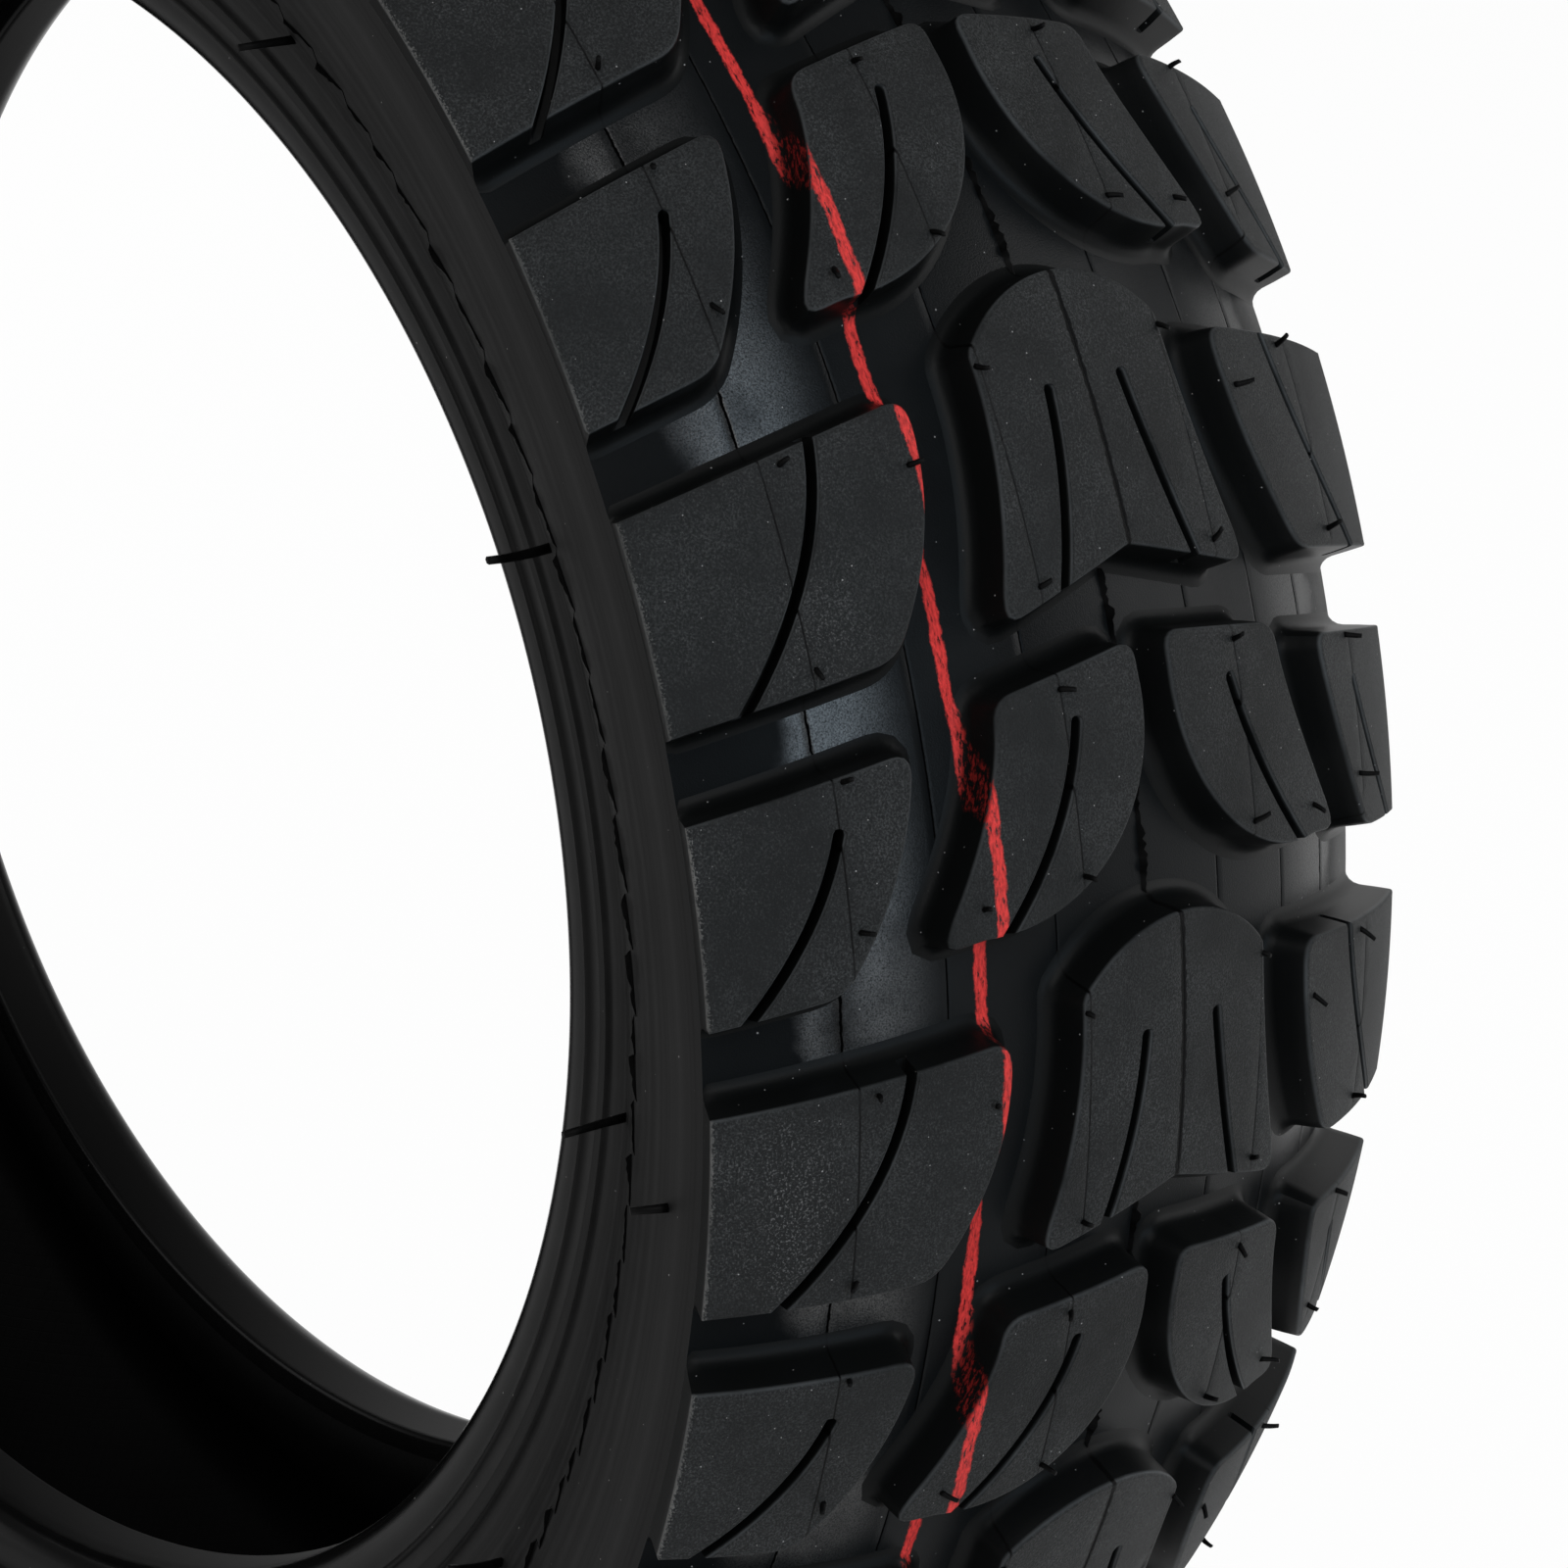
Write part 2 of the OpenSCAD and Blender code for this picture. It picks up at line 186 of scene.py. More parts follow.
def placed(name, mesh, sharp):
    """Turns the faces outwards, smooths all but edges of over so many degrees and puts the piece in the scene."""
    work = bmesh.new()
    work.from_mesh(mesh)
    bmesh.ops.recalc_face_normals(work, faces=work.faces)
    work.to_mesh(mesh)
    work.free()
    mesh.shade_smooth()
    mesh.set_sharp_from_angle(angle=math.radians(sharp))
    piece = bpy.data.objects.new(name, mesh)
    bpy.context.scene.collection.objects.link(piece)
    return piece


def linear(colour):
    """An sRGB hex value as linear red, green, blue and alpha."""
    parts = [int(colour[i:i + 2], 16) / 255 for i in (1, 3, 5)]
    return [c / 12.92 if c <= 0.04045 else ((c + 0.055) / 1.055) ** 2.4 for c in parts] + [1.0]


def add(tree, kind, inputs=None, **settings):
    """Adds a node with its settings, and sets or links its inputs. A node as an input gives its first output."""
    node = tree.nodes.new(kind if "Node" in kind else "ShaderNode" + kind)
    for name, value in settings.items():
        setattr(node, name, value)
    for name, value in (inputs or {}).items():
        if isinstance(value, bpy.types.Node):
            value = next(output for output in value.outputs if output.enabled)
        if isinstance(value, bpy.types.NodeSocket):
            tree.links.new(value, node.inputs[name])
        else:
            node.inputs[name].default_value = value
    return node


def new_finish(name):
    """A new material, its empty node tree and the place on the tyre that its patterns read."""
    material = bpy.data.materials.new(name)
    material.use_nodes = True
    tree = material.node_tree
    tree.nodes.clear()
    return material, tree, add(tree, "TexCoord").outputs["Object"]


def per_mm(size):
    """Texture scale whose pattern has this size in millimetres."""
    return 1 / (size * MM)


def mottled(tree, place, size, detail, dark, light):
    """Noise of this size in millimetres, and the colour that it mixes."""
    cloud = add(tree, "TexNoise", {"Vector": place, "Scale": per_mm(size), "Detail": detail})
    return cloud, add(tree, "Mix", {0: cloud, "A": linear(dark), "B": linear(light)}, data_type="RGBA")


def slanted_lines(tree, place, lean, pitch):
    """Waves that run round the tyre at a slant to its axle, with this pitch in millimetres."""
    split = add(tree, "SeparateXYZ", {0: place})
    angle = add(tree, "Math", {0: split.outputs["Z"], 1: split.outputs["X"]}, operation="ARCTAN2")
    around = add(tree, "Math", {0: angle, 1: OUTER_R * MM}, operation="MULTIPLY")
    slant = add(tree, "Math", {0: split.outputs["Y"], 1: lean, 2: around}, operation="MULTIPLY_ADD")
    phase = add(tree, "Math", {0: slant, 1: 2 * math.pi * per_mm(pitch)}, operation="MULTIPLY")
    return add(tree, "Math", {0: phase}, operation="COSINE")


def skin(tree, tone, rough, relief, strength, depth, ior=1.52, shine=0.5):
    """Ends a material with its surface, whose relief has this depth in millimetres."""
    raised = add(tree, "Bump", {"Height": relief, "Strength": strength, "Distance": depth * MM})
    surface = add(tree, "BsdfPrincipled", {
        "Base Color": tone, "Roughness": rough, "Normal": raised, "IOR": ior, "Specular IOR Level": shine})
    add(tree, "OutputMaterial", {"Surface": surface})
    return surface


# Butyl rubber, pressed by the bladder: a dull black with faint crossed vent lines, made darker still as painted
# shade of the tyre's inside.
butyl, tree, place = new_finish("butyl_liner_rubber")
vents = add(tree, "Math", {i: slanted_lines(tree, place, lean, VENT_PITCH) for i, lean in enumerate((1, -1))},
            operation="MAXIMUM")
vent_line = add(tree, "MapRange", {"Value": vents, "From Min": 0.86, "From Max": 1.0})
# The mottle runs between two colours darkened as painted shade.
cloud, tone = mottled(tree, place, 30, 4.0, LINER_BLACK_PAINTED_SHADE, LINER_GREY_PAINTED_SHADE)
rough = add(tree, "MapRange", {"Value": cloud, "To Min": 0.55, "To Max": 0.72})
skin(tree, tone, rough, vent_line, 0.25, 0.15, ior=1.5, shine=0.05)

inner = layer(PLIES_T + LINER_T, 0, AT_TOE)
outer = layer(PLIES_T, 0, AT_TOE)
liner_line = left_side(inner)[:-1] + inner + outer[::-1] + left_side(outer)[::-1][1:]
liner = ring("liner", liner_line, segments=LINER_STEPS)
liner.data.materials.append(butyl)
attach(liner, "root")
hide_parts("inner_liner")


# Carcass plies and breaker: sheets of nylon cord in rubber, laid crosswise over each other on the drum.
# The plies turn up round both beads, and the breaker lies under the tread. Nothing of them shows.
CORD_TAN = "#8d7d5c"
CORD_RUBBER = "#2c2823"
CORD_PITCH = 1.1
CORD_LEAN = 0.75


def cord_finish(name, lean):
    """Rubberised nylon fabric: parallel cords at a slant to the axle, with dark rubber between them."""
    material, tree, place = new_finish(name)
    wave = slanted_lines(tree, place, lean, CORD_PITCH)
    cord = add(tree, "MapRange", {"Value": wave, "From Min": -0.7, "From Max": 0.5})
    fibre = add(tree, "TexNoise", {"Vector": place, "Scale": per_mm(0.4), "Detail": 3.0})
    worn = add(tree, "Math", {0: cord, 1: fibre}, operation="MULTIPLY")
    tone = add(tree, "Mix", {0: worn, "A": linear(CORD_RUBBER), "B": linear(CORD_TAN)}, data_type="RGBA")
    skin(tree, tone, 0.7, cord, 0.6, 0.3, ior=1.53)
    return material


def dress(material, *names):
    """Gives solids of the CAD model their material."""
    for name in names:
        cad[name].data.materials.clear()
        cad[name].data.materials.append(material)


dress(cord_finish("rubberised_nylon_inner_ply", CORD_LEAN), "carcass_ply_inner")
dress(cord_finish("rubberised_nylon_outer_ply", -CORD_LEAN), "carcass_ply_outer", "breaker_ply")


# Beads: a bundle of bronze-coated steel wires in hard rubber, wrapped in fabric, with a rubber wedge above.
# They are wound and pressed first, and the plies turn round them. Nothing of them shows.
WIRE_BRONZE = "#a4763f"
WIRE_DARK = "#6e4c28"
HARD_BLACK = "#101010"
HARD_GREY = "#242322"
WRAP_LEAN = 1.4

# Drawn steel wire with a bronze coat: a warm brown metal with a half-bright, streaky surface.
bronze, tree, place = new_finish("bronze_coated_bead_wire")
drawn, tone = mottled(tree, place, 2.0, 4.0, WIRE_DARK, WIRE_BRONZE)
rough = add(tree, "MapRange", {"Value": drawn, "To Min": 0.28, "To Max": 0.5})
wire = add(tree, "BsdfPrincipled", {"Base Color": tone, "Roughness": rough, "Metallic": 1.0})
add(tree, "OutputMaterial", {"Surface": wire})

# Extruded hard rubber: a dull black with a fine, even grain.
hard, tree, place = new_finish("hard_bead_rubber")
grain, tone = mottled(tree, place, 1.2, 4.0, HARD_BLACK, HARD_GREY)
skin(tree, tone, 0.55, grain, 0.3, 0.1)

dress(bronze, "bead_wires_left", "bead_wires_right")
dress(hard, "bead_insulation_left", "bead_insulation_right", "bead_filler_left", "bead_filler_right")
dress(cord_finish("rubberised_bead_wrap", WRAP_LEAN), "bead_wrap_left", "bead_wrap_right")


# Chafers: the strips of firm rubber round the beads, from the toe over the rim seat and the heel.
# The mould gives them a smooth satin skin and the lower of the two raised rim lines.
HEEL_W = 6.5
HEEL_UP = 6.57
RIM_LINE_1 = 8.1
RIM_LINE_2 = 13.9
CHAFER_H = 11.0
RIB_W = 1.6
RIB_H = 0.7
CHAFER_DARK = "#070707"
CHAFER_GREY = "#0f0f0f"
# The rim seat's near-black colour is painted shade.
SEAT_PAINTED_SHADE = "#030303"
DUST_GREY = "#868483"
SEAT_ROUGH = 0.6
SEAT_EDGE = (0.05, 0.4)
HEEL_ROUGH = 0.2
HEEL_FROM = 1.5
CHAFER_ROUGH = (0.4, 0.52)
CHAFER_SHINE = 0.09
BELOW_JOINT = 9.8


def rim_line(height):
    """A rounded rib on the sidewall."""
    points = []
    for i in range(-4, 5):
        bulge = RIB_H * math.cos(i / 4 * math.pi / 2) ** 2
        points.append(wall_point(height + RIB_W / 2 * i / 4) + Vector((0, bulge)))
    return points


def dust_specks(tree, place, apart, largest):
    """Mask of pale specks of dust, at most this large, about this far apart."""
    specks = add(tree, "TexVoronoi", {"Vector": place, "Scale": per_mm(apart)})
    pick = add(tree, "SeparateColor", {0: specks.outputs["Color"]})
    size = add(tree, "MapRange", {"Value": pick, "From Min": 0.45, "From Max": 1.0, "To Max": largest / apart})
    return add(tree, "Math", {0: specks.outputs["Distance"], 1: size}, operation="LESS_THAN")


def coated(tree, tone, *coats):
    """Lays coats over a colour, each given by its mask and its own colour."""
    for mask, colour in coats:
        tone = add(tree, "Mix", {0: mask, "A": tone, "B": colour}, data_type="RGBA")
    return tone


def satin_finish(name, dark, grey, roughs, shine):
    """Rubber from a turned mould: satin, with faint turning lines, a little dust, a bright heel, and a rough seat
    whose near-black is painted shade.
    """
    material, tree, place = new_finish(name)
    split = add(tree, "SeparateXYZ", {0: place})
    flat = add(tree, "CombineXYZ", {"X": split.outputs["X"], "Y": split.outputs["Z"]})
    radius = add(tree, "VectorMath", {0: flat}, operation="LENGTH")
    section = add(tree, "CombineXYZ", {"X": radius, "Y": split.outputs["Y"]})
    turned = add(tree, "TexNoise", {"Vector": section, "Scale": per_mm(1.6), "Detail": 5.0})
    cloud = add(tree, "TexNoise", {"Vector": place, "Scale": per_mm(14), "Detail": 8.0, "Roughness": 0.8})
    both = add(tree, "Math", {0: turned, 1: cloud}, operation="MULTIPLY")
    mixed = add(tree, "MapRange", {"Value": both, "From Min": 0.13, "From Max": 0.41})
    off_seat, off_heel = (
        add(tree, "MapRange", {"Value": radius, "From Min": (SEAT_R + low) * MM, "From Max": (SEAT_R + high) * MM})
        for low, high in (SEAT_EDGE, (HEEL_FROM, HEEL_UP)))
    specks = dust_specks(tree, place, 2.4, 0.14)
    dusty = coated(tree, linear(dark), (mixed, linear(grey)), (specks, linear(DUST_GREY)))
    satin = add(tree, "MapRange", {
        "Value": cloud, "From Min": 0.3, "From Max": 0.7, "To Min": roughs[0], "To Max": roughs[1]})
    polished = add(tree, "Mix", {0: off_heel, "A": HEEL_ROUGH, "B": satin})
    rough = add(tree, "Mix", {0: off_seat, "A": SEAT_ROUGH, "B": polished})
    grain = add(tree, "TexNoise", {"Vector": place, "Scale": per_mm(0.5), "Detail": 3.0})
    relief = add(tree, "Math", {0: grain, 1: 0.5, 2: turned}, operation="MULTIPLY_ADD")
    # Below the seat's edge the colour is the near-black of painted shade.
    skin(tree, coated(tree, linear(SEAT_PAINTED_SHADE), (off_seat, dusty)), rough, relief, 0.2, 0.12, shine=shine)
    return material


chafer_rubber = satin_finish("moulded_chafer_rubber", CHAFER_DARK, CHAFER_GREY, CHAFER_ROUGH, CHAFER_SHINE)
toe = CARCASS[AT_TOE][0] + (PLIES_T + LINER_T) * CARCASS[AT_TOE][1]
toe_r = LINER_T / 2
turn_up = layer(PLIES_T, AT_TURN_END, AT_TURN_END + 1)
joint_share = (SEAT_R + CHAFER_H - turn_up[0].x) / (turn_up[1].x - turn_up[0].x)
joint_in = turn_up[0].lerp(turn_up[1], joint_share)
heel = curve((SEAT_R, HEEL_Y - HEEL_W), (SEAT_R, HEEL_Y), wall_point(HEEL_UP), 16)
chafer_line = (
    curve(toe, (SEAT_R, toe.y - toe_r / 2), (SEAT_R, toe.y + 2 * toe_r), 6)
    + heel
    + rim_line(RIM_LINE_1)
    + [wall_point(BELOW_JOINT), wall_point(CHAFER_H), joint_in]
    + layer(PLIES_T, AT_TOE, AT_TURN_END)[::-1])
for side, outline in (("left", left_side(chafer_line)), ("right", chafer_line)):
    chafer = ring("bead_chafer_" + side, outline)
    chafer.data.materials.append(chafer_rubber)
    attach(chafer, "root")
    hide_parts("chafer_" + side)


# Sidewalls: soft rubber extruded over the plies, from the chafers to the shoulder edges of the tread.
# The mould plate leaves the upper rim line, a satin skin and no lettering here.
SIDEWALL_DARK = "#040404"
SIDEWALL_GREY = "#222222"
SIDEWALL_ROUGH = (0.48, 0.62)
SIDEWALL_SHINE = 0.06
ABOVE_JOINT = 12.2
TO_FLARE = (15.8, 17.2, 18.6, 19.8)

sidewall_rubber = satin_finish(
    "moulded_sidewall_rubber", SIDEWALL_DARK, SIDEWALL_GREY, SIDEWALL_ROUGH, SIDEWALL_SHINE)
ply_end = CARCASS[-1][0]
under_tread = [p for p in layer(0, AT_SHOULDER, AT_BEAD) if p.x > BEAD.x + FILLER_H]
sidewall_line = (
    [joint_in, wall_point(CHAFER_H), wall_point(ABOVE_JOINT)]
    + rim_line(RIM_LINE_2)
    + [wall_point(h) for h in TO_FLARE]
    + curve(flare, bulge, tread_edge, 24)
    + under_tread
    + [ply_end, turn_up[1]])
for side, outline in (("left", left_side(sidewall_line)), ("right", sidewall_line)):
    wall = ring("outer_sidewall_" + side, outline)
    wall.data.materials.append(sidewall_rubber)
    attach(wall, "root")
    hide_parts("sidewall_" + side)


# Tread base: the part of the tread extrusion under the blocks, whose outside is the floor of the grooves.
# The polished mould ribs make it smoother than the block tops, and the joints of the mould rings
# leave fine sunk lines on it. A red paint line from the extruder runs round its left half.
RING_JOINTS = (-50.5, -34.6, -16.5, 16.5, 34.6, 50.5)
JOINT_W = 0.36
JOINT_D = 0.1
SEAM_HALF = 0.09
SEAM_FRAY = 0.2
SEAM_BLACK = "#040404"
OUTER_SEAM_HALF = 0.16
OUTER_SEAM_FRAY = 0.6
# The floor shines between these distances from the middle line, and the sheen ends raggedly.
POLISHED = (34.6, 50.5)
RAGGED = 18.0
PAINT_AT = -29.4
PAINT_HALF = 0.92
PAINT_RED = "#d23a37"
PAINT_THIN = "#9c2826"
PAINT_DARK = "#6d1a18"
# The mottle of the paint is drawn out along the line.
PAINT_DRAWN = 3.0
PAINT_SWAY = 0.55
PAINT_SMEAR = 1.25
PAINT_MOTTLE = 0.6
PAINT_STREAK = 0.35
GROOVE_DARK = "#090a0b"
GROOVE_GREY = "#131516"
GLOSS_LEFT, GLOSS_RIGHT = 0.8, 0.2
GLOSS_TURN = 10.0
FLOOR_STEP = 2.0
UNDER_EDGE, UNDER_STEP = 46, 4
FAR_OFF = 9.0


def keep_numbers(mesh, **numbers):
    """Stores a number for each point, for the finish to read."""
    for name, values in numbers.items():
        mesh.attributes.new(name, "FLOAT", "POINT").data.foreach_set("value", values)


def paint_line(tree, place):
    """Mask and colour of the paint: ragged and mottled on flat rubber, thin and smeared on block walls."""
    across = add(tree, "Attribute", attribute_name="across").outputs["Fac"]
    height = add(tree, "Attribute", attribute_name="height").outputs["Fac"]
    low = add(tree, "MapRange", {"Value": height, "From Min": 0.15, "From Max": 0.9, "To Min": 1.0, "To Max": 0.0})
    high = add(tree, "MapRange", {"Value": height, "From Min": BLOCK_H - 0.5, "From Max": BLOCK_H - 0.1})
    flat = add(tree, "Math", {0: low, 1: high}, operation="MAXIMUM")
    wander = add(tree, "TexNoise", {"Vector": place, "Scale": per_mm(6.0), "Detail": 7.0, "Roughness": 0.75})
    shift = add(tree, "MapRange", {
        "Value": wander, "From Min": 0.25, "From Max": 0.75, "To Min": PAINT_AT - PAINT_SWAY,
        "To Max": PAINT_AT + PAINT_SWAY})
    away = add(tree, "Math", {0: across, 1: shift}, operation="SUBTRACT")
    far = add(tree, "Math", {0: away}, operation="ABSOLUTE")
    reach = add(tree, "MapRange", {"Value": flat, "To Min": PAINT_HALF * PAINT_SMEAR, "To Max": PAINT_HALF})
    inside = add(tree, "Math", {0: reach, 1: far}, operation="SUBTRACT")
    body = add(tree, "MapRange", {"Value": inside, "From Min": -0.1, "From Max": 0.2})
    split = add(tree, "SeparateXYZ", {0: place})
    angle = add(tree, "Math", {0: split.outputs["Z"], 1: split.outputs["X"]}, operation="ARCTAN2")
    drawn = add(tree, "Math", {0: angle, 1: OUTER_R / PAINT_DRAWN}, operation="MULTIPLY")
    rolled = add(tree, "CombineXYZ", {"X": drawn, "Y": across, "Z": height})
    mottle = add(tree, "TexNoise", {"Vector": rolled, "Scale": 1 / PAINT_MOTTLE, "Detail": 5.0, "Roughness": 0.7})
    gap_at = add(tree, "MapRange", {"Value": flat, "To Min": 0.53, "To Max": 0.4})
    cover = add(tree, "Math", {0: mottle, 1: gap_at}, operation="SUBTRACT")
    holes = add(tree, "MapRange", {"Value": cover, "From Min": -0.04, "From Max": 0.06})
    mask = add(tree, "Math", {0: body, 1: holes}, operation="MULTIPLY")
    streak = add(tree, "TexNoise", {"Vector": rolled, "Scale": 1 / PAINT_STREAK, "Detail": 2.0})
    thick = add(tree, "MapRange", {"Value": streak, "From Min": 0.3, "From Max": 0.6})
    flat_red = coated(tree, linear(PAINT_THIN), (thick, linear(PAINT_RED)))
    return mask, coated(tree, linear(PAINT_DARK), (flat, flat_red))


def seam_lines(tree, place, lines, half, fray_by):
    """Mask of the thin dark seams that the joints of the mould leave round the tyre."""
    across = add(tree, "Attribute", attribute_name="across").outputs["Fac"]
    fray = add(tree, "TexNoise", {"Vector": place, "Scale": per_mm(1.2), "Detail": 4.0})
    waver = add(tree, "Math", {0: fray, 1: fray_by, 2: across}, operation="MULTIPLY_ADD")
    nearest = FAR_OFF
    for at in lines:
        away = add(tree, "Math", {0: waver, 1: at + fray_by / 2}, operation="SUBTRACT")
        far = add(tree, "Math", {0: away}, operation="ABSOLUTE")
        nearest = add(tree, "Math", {0: far, 1: nearest}, operation="MINIMUM")
    return add(tree, "MapRange", {
        "Value": nearest, "From Min": half, "From Max": half + SEAM_HALF, "To Min": 1.0, "To Max": 0.0})


# Tread rubber against polished steel: a deep black with a soft satin sheen.
groove_rubber, tree, place = new_finish("vulcanised_groove_rubber")
cloud, tone = mottled(tree, place, 14, 5.0, GROOVE_DARK, GROOVE_GREY)
paint, red = paint_line(tree, place)
fine_seams = seam_lines(tree, place, RING_JOINTS, SEAM_HALF, SEAM_FRAY)
outer_seams = seam_lines(tree, place, (-POLISHED[1], POLISHED[1]), OUTER_SEAM_HALF, OUTER_SEAM_FRAY)
seams = add(tree, "Math", {0: fine_seams, 1: outer_seams}, operation="MAXIMUM")
tone = coated(tree, tone, (dust_specks(tree, place, 2.1, 0.15), linear(DUST_GREY)), (paint, red),
              (seams, linear(SEAM_BLACK)))
satin = add(tree, "MapRange", {"Value": cloud, "From Min": 0.3, "From Max": 0.7, "To Min": 0.27, "To Max": 0.38})
rough = add(tree, "Mix", {0: paint, "A": satin, "B": 0.6})
grain = add(tree, "TexNoise", {"Vector": place, "Scale": per_mm(0.24), "Detail": 3.0})
across = add(tree, "Attribute", attribute_name="across").outputs["Fac"]
side = add(tree, "Math", {0: across}, operation="ABSOLUTE")
fading = add(tree, "MapRange", {
    "Value": side, "From Min": POLISHED[0], "From Max": POLISHED[1] - 4.0},
    interpolation_type="SMOOTHSTEP")
sheen = add(tree, "MapRange", {"Value": cloud, "From Min": 0.25, "From Max": 0.55})
speck = add(tree, "MapRange", {"Value": grain, "From Min": 0.25, "From Max": 0.62})
grainy = add(tree, "Math", {0: sheen, 1: speck}, operation="MULTIPLY")
patchy = add(tree, "Math", {0: fading, 1: grainy}, operation="MULTIPLY")
ragged = add(tree, "Math", {0: cloud, 1: RAGGED, 2: side}, operation="MULTIPLY_ADD")
polish_end = POLISHED[1] + RAGGED / 2
outer = add(tree, "MapRange", {
    "Value": ragged, "From Min": polish_end + 2.5, "From Max": polish_end + 8.0, "To Min": 1.0, "To Max": 0.0},
    interpolation_type="SMOOTHSTEP")
plain = add(tree, "MapRange", {"Value": outer, "To Min": 0.02, "To Max": 0.07})
polish = add(tree, "Math", {0: patchy, 1: outer}, operation="MULTIPLY")
gloss = add(tree, "MapRange", {
    "Value": across, "From Min": -GLOSS_TURN, "From Max": GLOSS_TURN, "To Min": GLOSS_LEFT, "To Max": GLOSS_RIGHT})
shine = add(tree, "Math", {0: polish, 1: gloss, 2: plain}, operation="MULTIPLY_ADD")
off_seam = add(tree, "Math", {0: 1.0, 1: seams}, operation="SUBTRACT")
shine = add(tree, "Math", {0: shine, 1: off_seam}, operation="MULTIPLY")
surface = skin(tree, tone, rough, grain, 0.5, 0.08, shine=0.08)
tree.links.new(shine.outputs[0], surface.inputs["Specular IOR Level"])

floor_across = []
across = -TREAD_EDGE
while across < TREAD_EDGE + 0.01:
    if all(abs(across - at) > JOINT_W for at in RING_JOINTS):
        floor_across.append(across)
    across += FLOOR_STEP
floor_across += [at + JOINT_W * shift for at in RING_JOINTS for shift in (-0.5, 0, 0.5)]
floor_across.sort()
floor_line = [crown_point(at, BLOCK_H + (JOINT_D if at in RING_JOINTS else 0)) for at in floor_across]
shoulder = [CARCASS[AT_SHOULDER][0]]
under = [crown_point(at, BLOCK_H + TREAD_BASE_T) for at in range(UNDER_EDGE, -UNDER_EDGE - 1, -UNDER_STEP)]
base = ring("tread_floor", floor_line + shoulder + under + left_side(shoulder))
numbers = [math.atan2(v.co.y, math.hypot(v.co.x, v.co.z) - HUB_R * MM) * CROWN_R for v in base.data.vertices]
keep_numbers(base.data, across=numbers, height=[0.0] * len(numbers))
base.data.materials.append(groove_rubber)
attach(base, "root")
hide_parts("tread_base")


# Tread blocks: moulded with the base, four shapes repeated fifteen times, the side rows left and right.
# Each has drafted walls, a round foot, a fine edge and sipes, the narrow slots that thin blades leave.
# Points are given as (along, across) on the unrolled crown, in the block's repeat.
BLOCKS_ROUND = 15
PATTERN_PHASE = math.radians(29.44)
DRAFT = math.tan(math.radians(8))
FOOT_R = 2.0
FOOT_SUNK = 0.4
UPPER_WALL = 2.6
EDGE_R = 0.55
CORNER_CUT = 3.0
SMALL_CUT = 0.8
TOP_LOOP = 1.3 * EDGE_R
TOP_GRID = 2.4
JOINT_CLEAR = 1.2
RIM_CLEAR = 0.5
SIPE_W = 1.5
SIPE_FLOOR = 2.2
SIPE_FOOT = (0.25, 0.3)
SIPE_LIP = 0.5
LIP_FROM, LIP_TO, BLADE_TO = -0.3, 0.2, 2.0
SIPE_END = ((0.45, 0.8), (0.65, 0.5), (0.72, 0.2))
TOP_JOINTS = (-50.5, -16.5, 0.0, 16.5, 50.5)
TOP_GREY = "#3c3d3d"
TOP_DARK = "#121313"
WALL_BLACK = "#0b0c0c"
# The thin edge's paler colour is partly wear and partly a painted highlight.
EDGE_WEAR_AND_HIGHLIGHT = "#4b4d4e"
FLASH_GREY = "#5c5b59"
FLASH_FRAY = 0.9
FLASH_SOFT = 0.12
SAND_GRAIN = 0.31
WORN_ALL_OVER = 0.06
SCUFF_SLIM = (1.0, 1.8, 1.0)
MIDDLE_SEAM_HALF = 0.4
MIDDLE_SEAM_FRAY = 0.8
SCUFFS = (((189.0, -58.2, -9.7), 17.0, 0.9), ((185.2, -45.7, 63.1), 14.0, 0.4))


def arc(centre, radius, first, last, count):
    turns = [math.radians(first + (last - first) * i / count) for i in range(count + 1)]
    return [Vector(centre) + radius * direction(t) for t in turns]


def run_length(points):
    return sum((b - a).length for a, b in zip(points, points[1:]))


def trimmed(points, front, rear):
    """A run of points with some length taken off both ends."""
    out, walked, whole = [], 0.0, run_length(points)
    for a, b in zip(points, points[1:]):
        span = (b - a).length
        for stop in (front, whole - rear):
            if walked <= stop < walked + span:
                out.append(a.lerp(b, (stop - walked) / span))
        if front < walked + span < whole - rear:
            out.append(b)
        walked += span
    if rear <= 0:
        out.append(points[-1])
    return out


def closed_outline(corners, step=1.0):
    """Evenly spaced points round a block: each corner is a point, its rounding and the run to the next."""
    runs = []
    for i, (at, cut, between) in enumerate(corners):
        to, to_cut = corners[(i + 1) % len(corners)][:2]
        runs.append(trimmed([Vector(at)] + between + [Vector(to)], cut, to_cut))
    around = []
    for i, (at, cut, between) in enumerate(corners):
        before = runs[i - 1][-1]
        around += curve(before, at, runs[i][0], 8) if cut else [Vector(at)]
        around += runs[i][1:-1]
    around.append(around[0].copy())
    count = round(run_length(around) / step)
    spaced, walked, whole = [], 0.0, run_length(around)
    for a, b in zip(around, around[1:]):
        span = (b - a).length
        while span > 0 and len(spaced) < count and len(spaced) * whole / count < walked + span:
            spaced.append(a.lerp(b, (len(spaced) * whole / count - walked) / span))
        walked += span
    return spaced


def outward(points):
    """Way out of a closed outline at each of its points."""
    ways = []
    for i, p in enumerate(points):
        along = (points[(i + 1) % len(points)] - points[i - 1]).normalized()
        ways.append(Vector((along.y, -along.x)))
    return ways


def inside(p, outline):
    hit = False
    for a, b in zip(outline, outline[1:] + outline[:1]):
        if (a.y > p.y) != (b.y > p.y) and p.x < (b.x - a.x) * (p.y - a.y) / (b.y - a.y) + a.x:
            hit = not hit
    return hit


def gap_to(p, outline):
    return min((p - q).length for q in outline)


